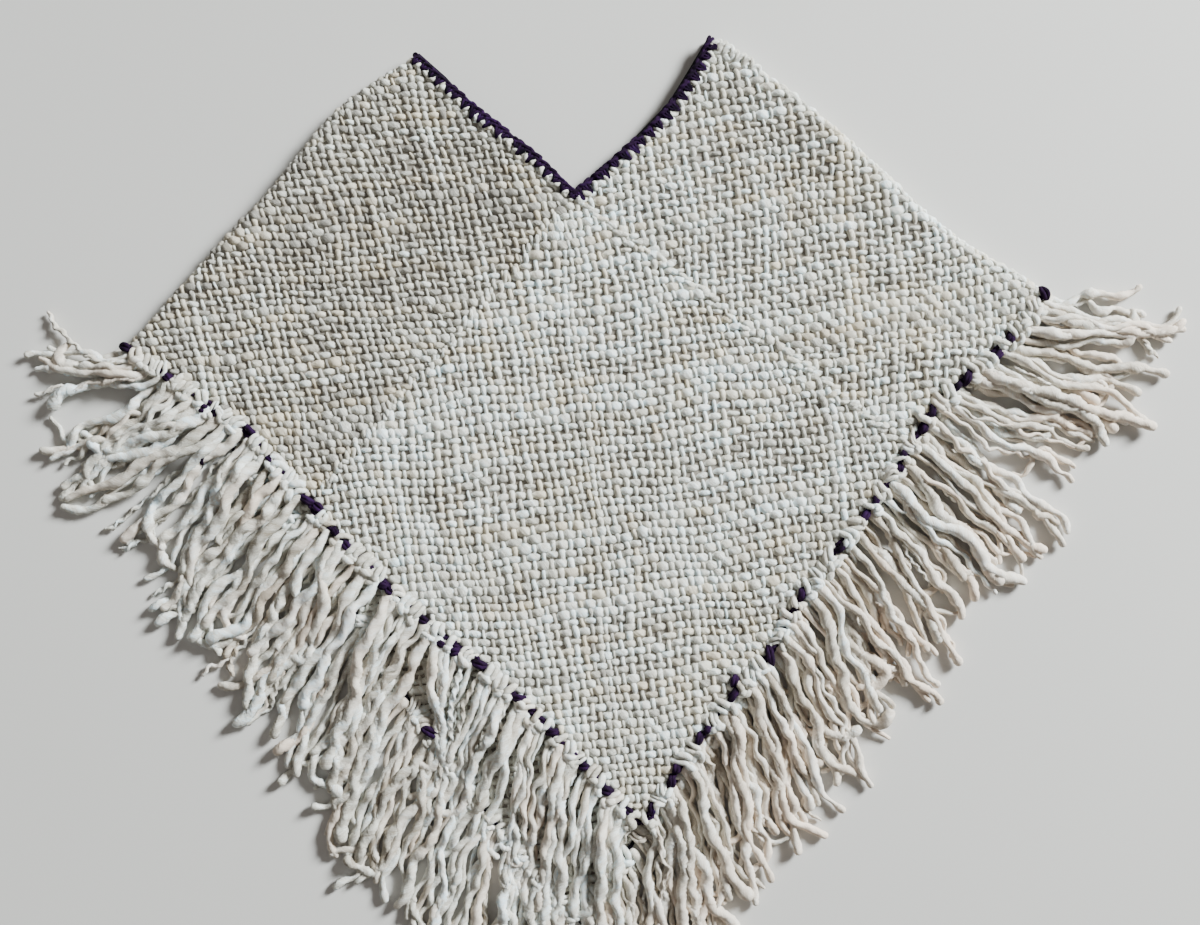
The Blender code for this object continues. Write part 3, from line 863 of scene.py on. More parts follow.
def shoulder_outline(side):
    """The front half of a shoulder square, with its plan carried on past the fold."""
    fold, key = folds[side].line, ("front", side)
    past = fold.at(reading) - fold.outward(reading, SIGN[side]) * PAST_FOLD[side][:, None]
    hem = hems[key].shoulder_part(reading[::-1])
    return np.vstack([necks[key].at(reading), lapped_seam(key, -SEAM_LAP), hem, past[::-1]])


def square_outline(layer):
    left, right = (layer, "left"), (layer, "right")
    return np.vstack(
        [
            lapped_seam(left, SEAM_LAP),
            hems[left].square_part(reading),
            hems[right].square_part(reading[::-1]),
            lapped_seam(right, SEAM_LAP)[::-1],
        ]
    )


outlines = {"front": square_outline("front")} | {side: shoulder_outline(side) for side in SIDES}
GRIDS = {
    "front": crossings(
        (-4, -20), (7.2, 6.0), (0.8, 0.9), (6.75, 7.15), (48, 44), 11, growth=0.0045, pinch=2.4
    ),
    "left": crossings((-200, 150), (5.6, 11.0), (0.3, 0.5), (6.65, 6.35), (48, 44), 12),
    "right": crossings((180, 200), (9.0, 4.0), (-1.2, 2.0), (7.1, 6.75), (44, 42), 13),
}
print("crossings inside:", {name: int(inside(GRIDS[name], outlines[name]).sum()) for name in GRIDS})

# %% Rows and columns through the crossings
# Points from one crossing to the next, lift of a yarn over another, and middle of the cloth.
PER, LIFT, MID = 3, 1.7, WALL / 2
# Below 1, a yarn stays up or down for longer and changes over faster.
CHANGEOVER = 0.65
# Least and most width of a yarn against its usual one, and how much its thickest lumps add.
THINNEST, FATTEST, LUMPS = 0.62, 1.5, 0.4
# Values in threes are for the front, the left and the right square. The left one is darker.
TONES = (0.68, 0.34, 0.68)
# A pool of light is painted round the neck's lower point, where it makes the wool paler.
LIGHT_POOL_CENTRE, LIGHT_POOL_SPREAD, LIGHT_POOL_STRENGTH = np.array([-8.0, 188.0]), 70.0, 0.24
ROW = {"wide": (2.85, 2.6, 2.65), "high": 2.1, "uneven": 0.15, "seed": 100, "sign": 1}
COLUMN = {"wide": (1.75, 1.6, 1.8), "high": 1.75, "uneven": 0.25, "seed": 200, "sign": -1}
# How far the floats of rows and columns lie askew.
SLANTS = {"front": (0.30, 0.45), "left": (0.4, 0.65), "right": (0.45, 0.40)}
# A yarn has at least this many points.
FEWEST = 4


def runs_of(mask):
    """Each unbroken run of enough points, as a slice."""
    edges = np.flatnonzero(np.diff(np.concatenate([[0], mask.astype(int), [0]])))
    return [slice(a, b) for a, b in zip(edges[::2], edges[1::2]) if b - a >= FEWEST]


def slanted(plan, swing, over, slant):
    """Plan points moved sideways so that each float lies a little askew, as twisted yarn does."""
    along = unit(np.gradient(plan, axis=0))
    across = np.column_stack([-along[:, 1], along[:, 0]])
    return plan + across * (np.sin(swing * math.pi) * over * slant)[:, None]


def weave(name, spots, outline, lay, kind, order, slant):
    """Every yarn of one direction, cut to the outline. Runs along the second axis of the grid."""
    dice = np.random.default_rng(kind["seed"] + order)
    skein = Skein(6)
    marks = spots.shape[1]
    place = np.arange((marks - 1) * PER + 1) / PER
    swing = np.cos(place * math.pi)
    swing = np.sign(swing) * np.abs(swing) ** CHANGEOVER
    # Yarn from one end of the ball to the other makes bands of thicker and paler rows.
    thick_band, pale_band = 0.09 * wander(len(spots), 3, dice), 0.06 * wander(len(spots), 4, dice)
    for j in range(len(spots)):
        first_over = (1 if j % 2 else -1) * kind["sign"]
        plan = slanted(smooth_run(spots[j], place), place, first_over, slant * dice.uniform(0.6, 1.3))
        held = inside(plan, outline)
        if held.sum() < FEWEST:
            continue
        surface, normals = lay(plan)
        over = swing * first_over
        count = len(place)
        # The yarn is thick and thin in short and long stretches, and now and then it has a lump.
        slub = 0.13 * wander(count, 7, dice) + 0.10 * wander(count, 31, dice) + kind["uneven"] * dice.normal()
        slub = np.clip(np.exp(slub + thick_band[j]), THINNEST, FATTEST)
        slub *= 1 + LUMPS * np.clip(wander(count, 12, dice) - 1.3, 0, 1)
        tone = TONES[order] + pale_band[j] + 0.11 * dice.normal()
        tone = tone + 0.13 * wander(count, 22, dice) + 0.10 * wander(count, 4, dice)
        # Painted light: the wool is made paler in a pool round the neck's lower point.
        light_pool = np.exp(-(((plan - LIGHT_POOL_CENTRE) / LIGHT_POOL_SPREAD) ** 2).sum(axis=1))
        tone = tone + LIGHT_POOL_STRENGTH * light_pool
        warm = 0.05 + 0.18 * dice.normal() + 0.42 * wander(count, 26, dice) + 0.22 * wander(count, 6, dice)
        warm = np.clip(warm, 0, 1)
        lift = over * LIFT * (1 + 0.15 * wander(count, 6, dice)) + 0.25 * wander(count, 8, dice)
        points = surface - normals * (MID - lift)[:, None]
        wide = kind["wide"][order] * slub * (1 + 0.10 * over)
        high = kind["high"] * (0.45 + 0.55 * slub)
        # Where the cloth lies on the floor, the yarns are pressed flat against it.
        reach_down = np.where(np.abs(normals[:, 2]) > 0.7, high, np.maximum(high, wide))
        points[:, 2] = np.maximum(points[:, 2], reach_down + 0.2)
        for cut in runs_of(held):
            skein.add(points[cut], normals[cut], wide[cut], high[cut], tone[cut], warm[cut])
    return skein.make(name, cloth_wool, "cloth")


woven = {}
for order, (panel, spots) in enumerate(GRIDS.items()):
    outline, (row_slant, column_slant) = outlines[panel], SLANTS[panel]
    woven[panel] = [
        weave(f"{panel}_rows", spots, outline, lay_front, ROW, order, -row_slant),
        weave(f"{panel}_columns", spots.transpose(1, 0, 2), outline, lay_front, COLUMN, order, column_slant),
    ]

# %% [markdown]
# ## Yarns made by hand
# The rest are short yarns laid one at a time: seam stitches, crochet and knots. One helper places a
# yarn by a few points that are given as steps along an edge, out from it and up.

# %% A yarn by its steps from an edge
# Room between a yarn and the floor.
FLOOR_ROOM = 0.3


def arc(skein, centre, along, outward, steps, wide, tone, warm, high=1.0, per=4):
    """A short yarn through steps of (along, out, height), smoothed, with its own width."""
    steps = np.asarray(steps, float)
    fine = smooth_run(steps, np.linspace(0, len(steps) - 1, (len(steps) - 1) * per + 1))
    plan = centre + along * fine[:, :1] + outward * fine[:, 1:2]
    height = np.maximum(fine[:, 2], np.max(wide) + FLOOR_ROOM)
    skein.add(np.column_stack([plan, height]), (0, 0, 1), wide, wide * high, tone, warm, True)


def shaped(points, places, sizes):
    """The width along a short yarn, against its full one."""
    return np.interp(np.linspace(0, 1, points), places, sizes)


def turned(along, outward, angle):
    """The two directions of an edge, turned by an angle."""
    cosine, sine = math.cos(angle), math.sin(angle)
    return along * cosine + outward * sine, outward * cosine - along * sine


# %% [markdown]
# ## The two sewn joins
# On the left the join shows as a line of short upright floats. On the right it is a low ridge of
# longer floats that lie like overlapping leaves. Each float dives into the cloth at both ends.

# %% Seam floats


FLOAT_SHAPE = shaped(17, (0, 0.25, 0.5, 0.75, 1), (0.6, 0.95, 1.08, 0.95, 0.6))
# Share of the floats that are left out.
LEFT_OUT = 0.1


def seam_floats(name, side, spacing, length, tilt, wide, seed):
    """Floats along a seam. The tilt is in degrees, at the neck and at the hem."""
    dice = np.random.default_rng(seed)
    seam = seams["front", side]
    skein = Skein(6)
    count = int(seam.length / spacing)
    for k in range(2, count - 1):
        share = (k + dice.uniform(-0.2, 0.2)) / count
        if dice.uniform() < LEFT_OUT:
            continue
        turn = math.radians(np.interp(share, (0, 1), tilt) + dice.normal() * 13)
        along = np.array([math.cos(turn), math.sin(turn)])
        outward = np.array([-along[1], along[0]])
        centre = seam.at(share) + dice.normal(size=2) * 2.2
        surface, _ = lay_front(centre[None])
        top, half = surface[0, 2] - dice.uniform(0.3, 1.7), length / 2 * dice.uniform(0.7, 1.25)
        fat = wide * dice.uniform(0.85, 1.2)
        rise = (-2.4, -0.6, 0.1, -0.6, -2.4)
        steps = [(half * place, 0, top + up) for place, up in zip((-1, -0.5, 0, 0.5, 1), rise)]
        tone, warm = 0.68 + 0.12 * dice.normal(), max(0.15 + 0.2 * dice.normal(), 0)
        arc(skein, centre, along, outward, steps, fat * FLOAT_SHAPE, tone, warm, 0.85)
    return skein.make(name, cloth_wool, "cloth")


seam_pieces = [
    seam_floats("left_seam_floats", "left", 8.2, 9.5, (84, 84), 1.9, 31),
    seam_floats("right_seam_floats", "right", 5.6, 10.5, (-20, 18), 2.2, 32),
]

# %% [markdown]
# ## The neck edging
# The edging is crochet in dark purple wool: a braided rim along the edge, and from each stitch a
# wedge of yarn that reaches down over the cloth. Between two wedges the cream cloth bulges up like a
# tooth. The rim is built from a core yarn with slanted loops over it.

# %% Crochet stitches
NECK_STITCH = {"left": 8.6, "right": 9.6}
WEDGE_FEET = (-2.5, 0, 2.5)


def crochet(name, side, full, seed):
    dice = np.random.default_rng(seed)
    neck = necks["front", side]
    sign, base = SIGN[side], FRONT_BASE
    rim, teeth = Skein(8), Skein(7)
    stitches = round(neck.length / NECK_STITCH[side])
    core = np.linspace(0.003, 0.997, stitches * 4)
    spots, out = neck.at(core), neck.outward(core, sign)
    lumps = full * (1 + 0.12 * np.sin(core * stitches * math.tau + wander(len(core), 9, dice)))
    cord = np.column_stack([spots + out * 2.4 * full, np.full(len(core), base + 3.4)])
    rim.add(cord, (0, 0, 1), 2.3 * lumps, 2.5 * lumps, 0.35, 0.0, True)
    for k in range(stitches):
        share = min(max((k + 0.5 + dice.normal() * 0.12) / stitches, 0), 1)
        centre, along = neck.at(share), neck.heading(share)
        outward = neck.outward(share, sign)
        size = dice.uniform(0.82, 1.14) * full
        # Two slanted loops make one link of the braid.
        for slant, tall in ((1, 6.0), (-1, 5.4)):
            steps = (
                (-5.2, 2.7 - 1.3 * slant, base + 4.6),
                (-2.4, 2.7 - 1.0 * slant, base + tall),
                (1.6, 2.7 + 0.7 * slant, base + tall + 0.2),
                (5.0, 2.7 + 1.4 * slant, base + 4.4),
            )
            shade = 0.5 + 0.25 * dice.normal()
            arc(rim, centre, along, outward, np.array(steps) * (size, size, 1), 1.45 * size, shade, 0.1)
        reach = dice.uniform(3.6, 6.8) * size
        lean, tip = dice.normal() * 1.2, dice.uniform(0.4, 0.6)
        # Three strands that meet at the tip fill the wedge.
        for foot in WEDGE_FEET:
            steps = (
                (foot, 2.2, base + 5.0),
                (foot * 0.9, -0.2, base + 6.7),
                (lean * 0.5 + foot * 0.5, -reach * 0.55, base + 7.1),
                (lean + foot * 0.12, -reach, base + 6.0),
            )
            width = 1.35 * size * shaped(13, (0, 0.35, 1), (1.0, 0.95, tip))
            arc(rim, centre, along, outward, steps, width, 0.45 + 0.25 * dice.normal(), 0.0)
        tooth = neck.at(min((k + 1) / stitches, 0.995)) + along * dice.normal() * 0.7
        low, long = dice.uniform(-1.6, 0.4), dice.uniform(4.2, 7.0)
        steps = (
            (0, low, base + 5.0),
            (dice.normal() * 0.8, -2.6, base + 6.4),
            (dice.normal() * 1.5, -long * 0.75, base + 5.8),
            (dice.normal() * 2.0, -long, base + 3.4),
        )
        fat, shade = dice.uniform(1.5, 2.7), 0.62 + 0.12 * dice.normal()
        arc(teeth, tooth, along, outward, steps, fat, shade, max(0.12 * dice.normal(), 0), 0.85)
    crochet_piece = rim.make(name, purple_wool, "dark_yarn")
    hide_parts(f"neck_edging_front_{side}")
    return [crochet_piece, teeth.make(f"{name}_teeth", cloth_wool, "cloth")]


neck_pieces = {
    "left": crochet("neck_crochet_left", "left", 1.0, 40),
    "right": crochet("neck_crochet_right", "right", 1.06, 42),
}

# %% [markdown]
# At the right peak the last rows of the shoulder are drawn together, and stand out as loose loops
# along the first stretch of the fold.

# %% Loose loops at the right peak


# Distance of each loop from the peak, along the fold.
LOOP_PLACES = (4, 9, 15, 20, 27, 33, 41)


def peak_loops(name, seed):
    dice = np.random.default_rng(seed)
    skein, fold = Skein(7), folds["right"]
    for place in LOOP_PLACES:
        share = place / fold.line.length
        along, outward = fold.line.heading(share), -fold.line.outward(share, SIGN["right"])
        centre = fold.line.at(share) + outward * dice.uniform(-4.5, -1.0)
        reach, half = dice.uniform(3.5, 5.5), dice.uniform(2.2, 3.6)
        steps = (
            (-half, -5.0, 9.5),
            (-half * 1.1, -0.5, 12.6),
            (dice.normal() * 0.6, reach, 12.2),
            (half * 1.1, -0.8, 12.4),
            (half * 0.8, -5.5, 9.5),
        )
        wide, tone = dice.uniform(1.9, 2.6), 0.6 + 0.12 * dice.normal()
        arc(skein, centre, along, outward, steps, wide, tone, 0.15, 0.9)
    return skein.make(name, cloth_wool, "cloth")


neck_pieces["right"].append(peak_loops("right_peak_loops", 45))

# %% [markdown]
# ## The hem yarn
# A dark yarn of two plies runs along the hem. It is covered by the knots, and shows where they
# stand apart. Two thin yarns that wind round each other give the twist.

# %% Two plies along the hem, and where they bulge out between the knots
DARK_PLACES = {
    # side: (distance along the hem, half length, step outwards) in mm
    "left": (
        (2, 3.5, 0), (43, 4, 2), (81, 3, 5), (91, 2.5, 2.5), (121, 4.5, -3), (148, 3.5, 1), (193, 4.5, 0),
        (203, 3, -3), (229, 5, 0), (241, 3, 1.5), (284, 3.5, 3), (291, 2.5, 2), (326, 4, 1), (349, 3, 6),
        (361, 4, 4), (384, 5, 0), (425, 4.5, -1), (463, 4, 0), (488, 2.5, 1), (501, 3.5, 1.5), (527, 4.5, 1),
        (552, 4, 0),
    ),
    "right": (
        (3, 4.5, 0), (48, 3, 2), (64, 5.5, 4.5), (94, 4.5, 1.5), (104, 3, 1.5), (133, 5, 1), (149, 4, 3),
        (175, 4, -1), (186, 3, 3), (218, 4, 0), (233, 5, 1), (264, 4.5, 1), (313, 4.5, -1), (325, 3, 1),
        (368, 6.5, 2), (402, 3.5, -6), (411, 7, 0), (445, 3.5, 0.5), (455, 4.5, 0), (486, 3, -2),
        (496, 4, 1.5), (523, 4, 0),
    ),
}


# Length of one turn of the two plies, and of one step along them.
PLY_TURN, PLY_STEP = 11, 2.2
DASH_SHAPE = shaped(13, (0, 0.4, 0.7, 1), (0.7, 1.1, 1.05, 0.7))


def hem_yarn(name, hem, seed):
    """The two plies under the knots, and a thicker pair of plies at each place that shows."""
    dice = np.random.default_rng(seed)
    skein = Skein(7)
    count = int(hem.line.length / PLY_STEP)
    share = np.linspace(0.004, 0.999, count)
    spots, out = hem.line.at(share), hem.outward(share)
    turn = share * hem.line.length / PLY_TURN * math.tau
    for ply in (0, math.pi):
        drift = 1.9 + 0.9 * wander(count, 12, dice)
        plan = spots + out * (drift + 1.1 * np.cos(turn + ply))[:, None]
        height = hem.base + 4.6 + 1.1 * np.sin(turn + ply)
        skein.add(np.column_stack([plan, height]), (0, 0, 1), 1.6, 1.6, 0.5, 0.1, True)
    for place, half, aside in DARK_PLACES[hem.side]:
        share = place / hem.line.length
        turn = math.radians(14 + dice.normal() * 20) * hem.sign
        along, outward = hem.line.heading(share), hem.outward(share)
        along = along * math.cos(turn) + outward * math.sin(turn)
        outward = np.array([-along[1], along[0]])
        centre = hem.line.at(share) + hem.outward(share) * (1.4 + aside)
        for ply in (-1, 1):
            reach = half * dice.uniform(0.85, 1.1)
            bow = dice.normal() * 0.5
            steps = (
                (-reach - 1.5, ply * 0.7, hem.base + 4.4),
                (-reach * 0.55, ply * 1.25 + bow, hem.base + 7.2),
                (reach * 0.4, ply * 1.15 + bow, hem.base + 7.6),
                (reach + 1.2, ply * 0.6, hem.base + 4.2),
            )
            tone = 0.5 + 0.25 * dice.normal()
            arc(skein, centre, along, outward, steps, 1.95 * DASH_SHAPE, tone, 0.1)
    piece = skein.make(name, purple_wool, "dark_yarn")
    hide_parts(f"hem_yarn_front_{hem.side}", f"hem_yarn_front_shoulder_{hem.side}")
    return piece


def loose_yarn(name, ends, height, wide, seed):
    """A short two-ply stretch of the dark yarn between two places, off the front's hem."""
    dice = np.random.default_rng(seed)
    skein = Skein(7)
    start, end = np.asarray(ends, float)
    along = unit(end - start)
    outward, half = np.array([-along[1], along[0]]), np.linalg.norm(end - start) / 2
    for ply in (-1, 1):
        steps = (
            (-half, ply * 0.5, height - 2.0),
            (-half * 0.5, ply * wide * 0.6, height),
            (half * 0.45, ply * wide * 0.55 + dice.normal() * 0.4, height + 0.3),
            (half, ply * 0.4, height - 1.8),
        )
        tone = 0.5 + 0.2 * dice.normal()
        arc(skein, (start + end) / 2, along, outward, steps, wide * DASH_SHAPE, tone, 0.1)
    return skein.make(name, purple_wool, "dark_yarn")


hem_yarns = [hem_yarn(f"dark_hem_yarn_{side}", hems["front", side], 51 + SIGN[side]) for side in SIDES]
hem_yarns.append(loose_yarn("dark_yarn_tail", ((-315, 12), (-318, -1)), 15.0, 1.5, 58))
dark_yarn_in_parting = loose_yarn("dark_yarn_in_parting", ((-143, -212), (-128, -220)), 9.6, 2.3, 59)
# The back's own hem yarn and edging are the frame's solids, in the same wool.
for name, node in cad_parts.items():
    if "hem_yarn_back" in name or "neck_edging_back" in name:
        node.data.materials[0] = purple_wool

# %% [markdown]
# ## Knots
# The fringe is tied on with lark's heads: a folded strand goes under the hem, its loop lies across
# the front, and its ends pass through. From above each one is a bundle of thin strands that bows
# over the dark yarn, with a fat turn of wool on its outer side. No two lie alike, so the bow, the
# tilt and the number of strands are all drawn from seeded dice.

# %% Where the knots sit
KNOT_PITCH, LEAST_ROOM = 11.0, 3.2
# One dark place of the back's hem is in view, by a bend of it, and the others are spaced from it.
BACK_DASH_PITCH = 38
back_left = hems["back", "left"].line
near_bend = np.linalg.norm(back_left.points - BENDS["back_left_hem"][3], axis=1).argmin()
BACK_DASHES = {"left": back_left.run[near_bend] - 4, "right": 20.0}


def knot_places(hem, dice):
    """Centre and half width of each knot, between the places where the dark yarn shows."""
    if hem.layer == "front":
        marks = [mark[:2] for mark in DARK_PLACES[hem.side] if mark[2] > -5]
    else:
        first = BACK_DASHES[hem.side] % BACK_DASH_PITCH + 4
        places = np.arange(first, hem.line.length - 10, BACK_DASH_PITCH)
        marks = [(place, dice.uniform(2.5, 4.5)) for place in places]
    edges = [(0.0, 0.0), *marks, (hem.line.length - 3, 0.0)]
    found = []
    for (a, half_a), (b, half_b) in zip(edges, edges[1:]):
        low, high = a + half_a, b - half_b
        room = high - low
        if room < LEAST_ROOM:
            continue
        count = max(1, round(room / KNOT_PITCH))
        found += [(low + room * (k + 0.5) / count, room / count / 2) for k in range(count)]
    return found


# A knot turns by this many degrees at most, and half the width of its loops is at most this.
MOST_TURN, FATTEST_LOOP = 38, 2.8


def knot(skein, hem, place, half, dice):
    """One lark's head: a bowed bundle over the dark yarn, and fat turns on its outer side."""
    share = place / hem.line.length
    centre, along, outward = hem.line.at(share), hem.line.heading(share), hem.outward(share)
    turn = math.radians(np.clip(dice.normal() * 20, -MOST_TURN, MOST_TURN))
    along, outward = turned(along, outward, turn)
    base = hem.base
    loops = int(np.clip(round(half * 2 / 5.0 + dice.normal() * 0.5), 1, 3))
    fat = min(half / loops * 1.08, FATTEST_LOOP)
    tone, warm = 0.62 + 0.13 * dice.normal(), max(0.04 + 0.2 * dice.normal(), 0)
    top = base + 7.6 + dice.uniform(-0.4, 1.0)
    bow, spread = dice.normal() * 2.2, dice.uniform(0.75, 1.25)
    reach_in, reach_out = dice.uniform(2.8, 5.6), dice.uniform(6.4, 9.0)
    for k in range(loops):
        row = (k - (loops - 1) / 2) * 2 * half / loops
        high_up = top - 0.35 * abs(row) + dice.normal() * 0.3
        steps = (
            (row * 0.8 - bow * 0.4, -reach_in + dice.normal() * 0.5, base + 3.9),
            (row + bow * 0.35, -reach_in * 0.5, high_up - 0.8),
            (row + bow + dice.normal() * 0.6, 2.2, high_up + 0.6),
            (row * spread + bow * 0.6, reach_out * 0.7, high_up - 0.5),
            (row * spread * 0.7 - bow * 0.3, reach_out + dice.normal() * 0.6, base + 3.2),
        )
        width = fat * dice.uniform(0.75, 1.15)
        arc(skein, centre, along, outward, steps, width, tone + 0.08 * dice.normal(), warm, 0.95, per=3)
    for _ in range(2 + int(dice.uniform() < 0.5)):
        across, outer = turned(along, outward, math.radians(dice.normal() * 42))
        middle = centre + outward * dice.uniform(4.4, 10.0) + along * dice.uniform(-0.8, 0.8) * half
        reach, swell = half * dice.uniform(0.5, 0.95) + 1.2, dice.uniform(6.0, 9.2)
        bend = dice.normal() * 1.4
        steps = (
            (-reach, -bend, base + 2.4),
            (-reach * 0.55, bend * 0.5, base + swell - 0.8),
            (reach * 0.1, bend, base + swell),
            (reach * 0.65, bend * 0.3, base + swell - 1.2),
            (reach, -bend, base + 2.2),
        )
        width = dice.uniform(1.9, 3.1) * shaped(13, (0, 0.5, 1), (0.75, 1.1, 0.8))
        paler = tone + 0.05 + 0.08 * dice.normal()
        arc(skein, middle, across, outer, steps, width, paler, warm, 0.9, per=3)


# %% [markdown]
# ## Fringe
# One to three strands leave each knot. They are combed out by hand, so they fan from level at the
# shoulder corners to straight down at the point, and each also strays a little. A strand is drawn
# by its heading and not by its shape: the heading swings as the yarn goes on, in one slow wave and
# one quick one, and some strands curl up at the tip. So the length stays true whatever it does.
# It is thick and thin, and ends in a blunt tip. The front fringe lies on the back one, so the
# strands of each knot rest at their own height and come down towards the floor.

# %% How the strands are combed
FAN = {
    # side: (share of the hem, degrees below level, length)
    "left": (
        (0, -14, 66), (0.05, 12, 96), (0.12, 31, 118), (0.22, 45, 126), (0.36, 56, 126), (0.5, 62, 127),
        (0.72, 70, 127), (1, 90, 125),
    ),
    "right": (
        (0, 0, 100), (0.05, 9, 120), (0.12, 22, 128), (0.2, 32, 128), (0.28, 44, 128), (0.45, 60, 122),
        (0.62, 69, 124), (0.8, 75, 130), (1, 89, 126),
    ),
}
# The front fringe is parted here, and the back cloth shows. Strands that start further off than
# the reach, or past it, are left alone.
PARTING, PARTING_RADIUS, PARTING_REACH = np.array([-144.0, -197.0]), 22.0, 90
STRETCH = {("front", "left"): 1.0, ("front", "right"): 1.0, ("back", "left"): 0.98, ("back", "right"): 0.8}
FLOOR_CLEAR = 0.35
# Usual radius of a strand, that of a plied one, the most that any has, and how many are plied.
THICK, PLIED, THICKEST = {"left": 3.45, "right": 2.95}, 1.95, 4.9
PLIED_SHARE = {"left": 0.15, "right": 0.10}
STRAND_TONE = {"left": 0.55, "right": 0.46}
# Thinner strands than this may kink. Length in which a strand leaves its knot, and in which it
# comes down from it.
KINKS_BELOW, LEAVES_IN, COMES_DOWN_IN = 2.7, 20, 30


def past_parting(root, turn):
    """Degrees to add to a left strand's heading, so that it passes beside the parting."""
    away = PARTING - root
    ahead = away @ (-math.cos(turn), -math.sin(turn))
    beside = away @ (math.sin(turn), -math.cos(turn))
    if ahead < 0 or ahead > PARTING_REACH or abs(beside) > PARTING_RADIUS:
        return 0.0
    more = math.degrees(math.atan2(PARTING_RADIUS - abs(beside), max(ahead, 14.0)))
    return -more if beside > 0 else more


def strand(skein, hem, place, aside, layer_height, group, dice):
    """One strand of fringe from its knot to its tip."""
    share = min(max(place / hem.line.length, 0), 1)
    fan = np.array(FAN[hem.side])
    degrees = np.interp(share, fan[:, 0], fan[:, 1]) + group + dice.normal() * 6.0
    length = np.interp(share, fan[:, 0], fan[:, 2]) * STRETCH[hem.layer, hem.side]
    length *= dice.uniform(0.88, 1.16)
    plied = dice.uniform() < PLIED_SHARE[hem.side]
    thick = PLIED if plied else THICK[hem.side] * np.exp(dice.normal() * 0.27)
    step = 2.4 if plied else 3.5
    count = int(length / step) + 2
    s = np.linspace(0, length, count)
    near = ease(s / 18)
    slow, quick = dice.uniform(40, 80), dice.uniform(15, 28)
    sway = dice.uniform(6, 24) * np.sin(s / slow * math.tau + dice.uniform(0, math.tau))
    # Most thin strands kink, and fat ones stay straighter.
    kinked = thick < KINKS_BELOW and dice.uniform() < 0.7
    crimp = dice.uniform(14, 34) if kinked else dice.uniform(3, 14)
    kink = crimp * np.sin(s / quick * math.tau + dice.uniform(0, math.tau))
    kink *= 1 + 0.4 * wander(count, 4, dice)
    curl = dice.normal() * 30 + (dice.uniform() < 0.2) * dice.choice([-1, 1]) * dice.uniform(50, 130)
    curl = curl * ease((s - length * 0.66) / (length * 0.34))
    root = hem.line.at(share) + hem.line.heading(share) * aside + hem.outward(share) * 7.0
    if hem.layer == "front" and hem.side == "left":
        degrees += past_parting(root, math.radians(degrees))
    turn = np.radians(degrees + (sway + kink) * near + curl)
    if plied:
        turn += np.radians(16 * np.sin(s / 8.5 * math.tau)) * near
    heading = np.column_stack([hem.sign * np.cos(turn), -np.sin(turn)])
    # The strand leaves its knot square to the hem and then turns the way it was combed.
    heading = unit(heading + hem.outward(share) * (1 - ease(s / LEAVES_IN))[:, None])
    plan = root + np.vstack([[0, 0], np.cumsum(heading[:-1] * np.diff(s)[:, None], axis=0)])
    radius = thick * np.exp(0.15 * wander(count, 5.0, dice) + 0.12 * wander(count, 1.9, dice))
    radius = np.clip(radius, 1.3, THICKEST) * (1 + dice.uniform(-0.2, 0.2) * ease((s - length + 14) / 12))
    start = hem.base + 4.6
    rest = FLOOR_CLEAR + radius + layer_height * (1 - 0.88 * ease(s / length))
    rest += 0.8 * np.abs(wander(count, 6, dice))
    height = start * (1 - ease(s / COMES_DOWN_IN)) + rest * ease(s / COMES_DOWN_IN)
    height = np.maximum(height, FLOOR_CLEAR + radius * (1.3 if plied else 1.13))
    tone = STRAND_TONE[hem.side] + 0.15 * dice.normal() + 0.12 * wander(count, 5, dice)
    warm = np.clip(0.06 + 0.2 * dice.normal() + 0.26 * wander(count, 9, dice), 0, 0.8)
    # The right strands are painted warmer, more so towards their tips: painted warm reflected light.
    if hem.side == "right":
        warm = warm + 0.2 + 0.7 * dice.uniform() * ease((s - length * 0.3) / (length * 0.5))
    # The yarn is a little oval, and the oval turns with the twist.
    oval, lay = (1.3, 9.0) if plied else (1.13, dice.uniform(18, 30))
    spin = s / lay * math.pi + dice.uniform(0, math.pi)
    ups = np.column_stack([np.sin(spin) * -heading[:, 1], np.sin(spin) * heading[:, 0], np.cos(spin)])
    skein.add(np.column_stack([plan, height]), ups, radius * oval, radius / oval, tone, warm, True)


def fringe(hem, seed):
    dice = np.random.default_rng(seed)
    front = hem.layer == "front"
    # The back's fringe lies under the front's, so its yarns need fewer sides.
    knots, strands = (Skein(6), Skein(7)) if front else (Skein(5), Skein(6))
    places = knot_places(hem, dice)
    # Neighbouring knots were combed together, so their strands lean the same way in bunches.
    bunches = wander(len(places), 1.7, dice) * 8.5
    for number, (place, half) in enumerate(places):
        knot(knots, hem, place, half, dice)
        # Near the corners there are fewer strands, in separate bunches. Near the point they are
        # closer and hang straight.
        share = place / hem.line.length
        group = np.clip(bunches[number] + dice.normal() * 3.5, -12, 12)
        group *= np.interp(share, (0.4, 0.6), (1, 0.4))
        if share < 0.3:
            count = (2 if front else 1) + (number % 3 == 0)
        else:
            count = 3 - (number % 3 == 0 or (share < 0.5 and number % 3 == 1))
        for k in range(count):
            aside = (k - (count - 1) / 2) * half * 1.5 / count * 2
            height = (7.0 if front else 0.0) + ((number + k) % 3) * (3.4 if front else 2.2)
            strand(strands, hem, place, aside, height, group, dice)
    ending = f"{hem.layer}_{hem.side}"
    made = [
        knots.make(f"knots_{ending}", fringe_wool, "fringe"),
        strands.make(f"strands_{ending}", fringe_wool, "fringe"),
    ]
    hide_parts(f"fringe_{ending}", f"fringe_{hem.layer}_shoulder_{hem.side}")
    return made


fringes = {key: fringe(hem, 61 + k) for k, (key, hem) in enumerate(hems.items())}

# %% [markdown]
# ## The back cloth that peeks out
# The back square is hidden, apart from a strip at the lower left where it looks out between the
# front's hem and its own. Only that strip gets yarns.

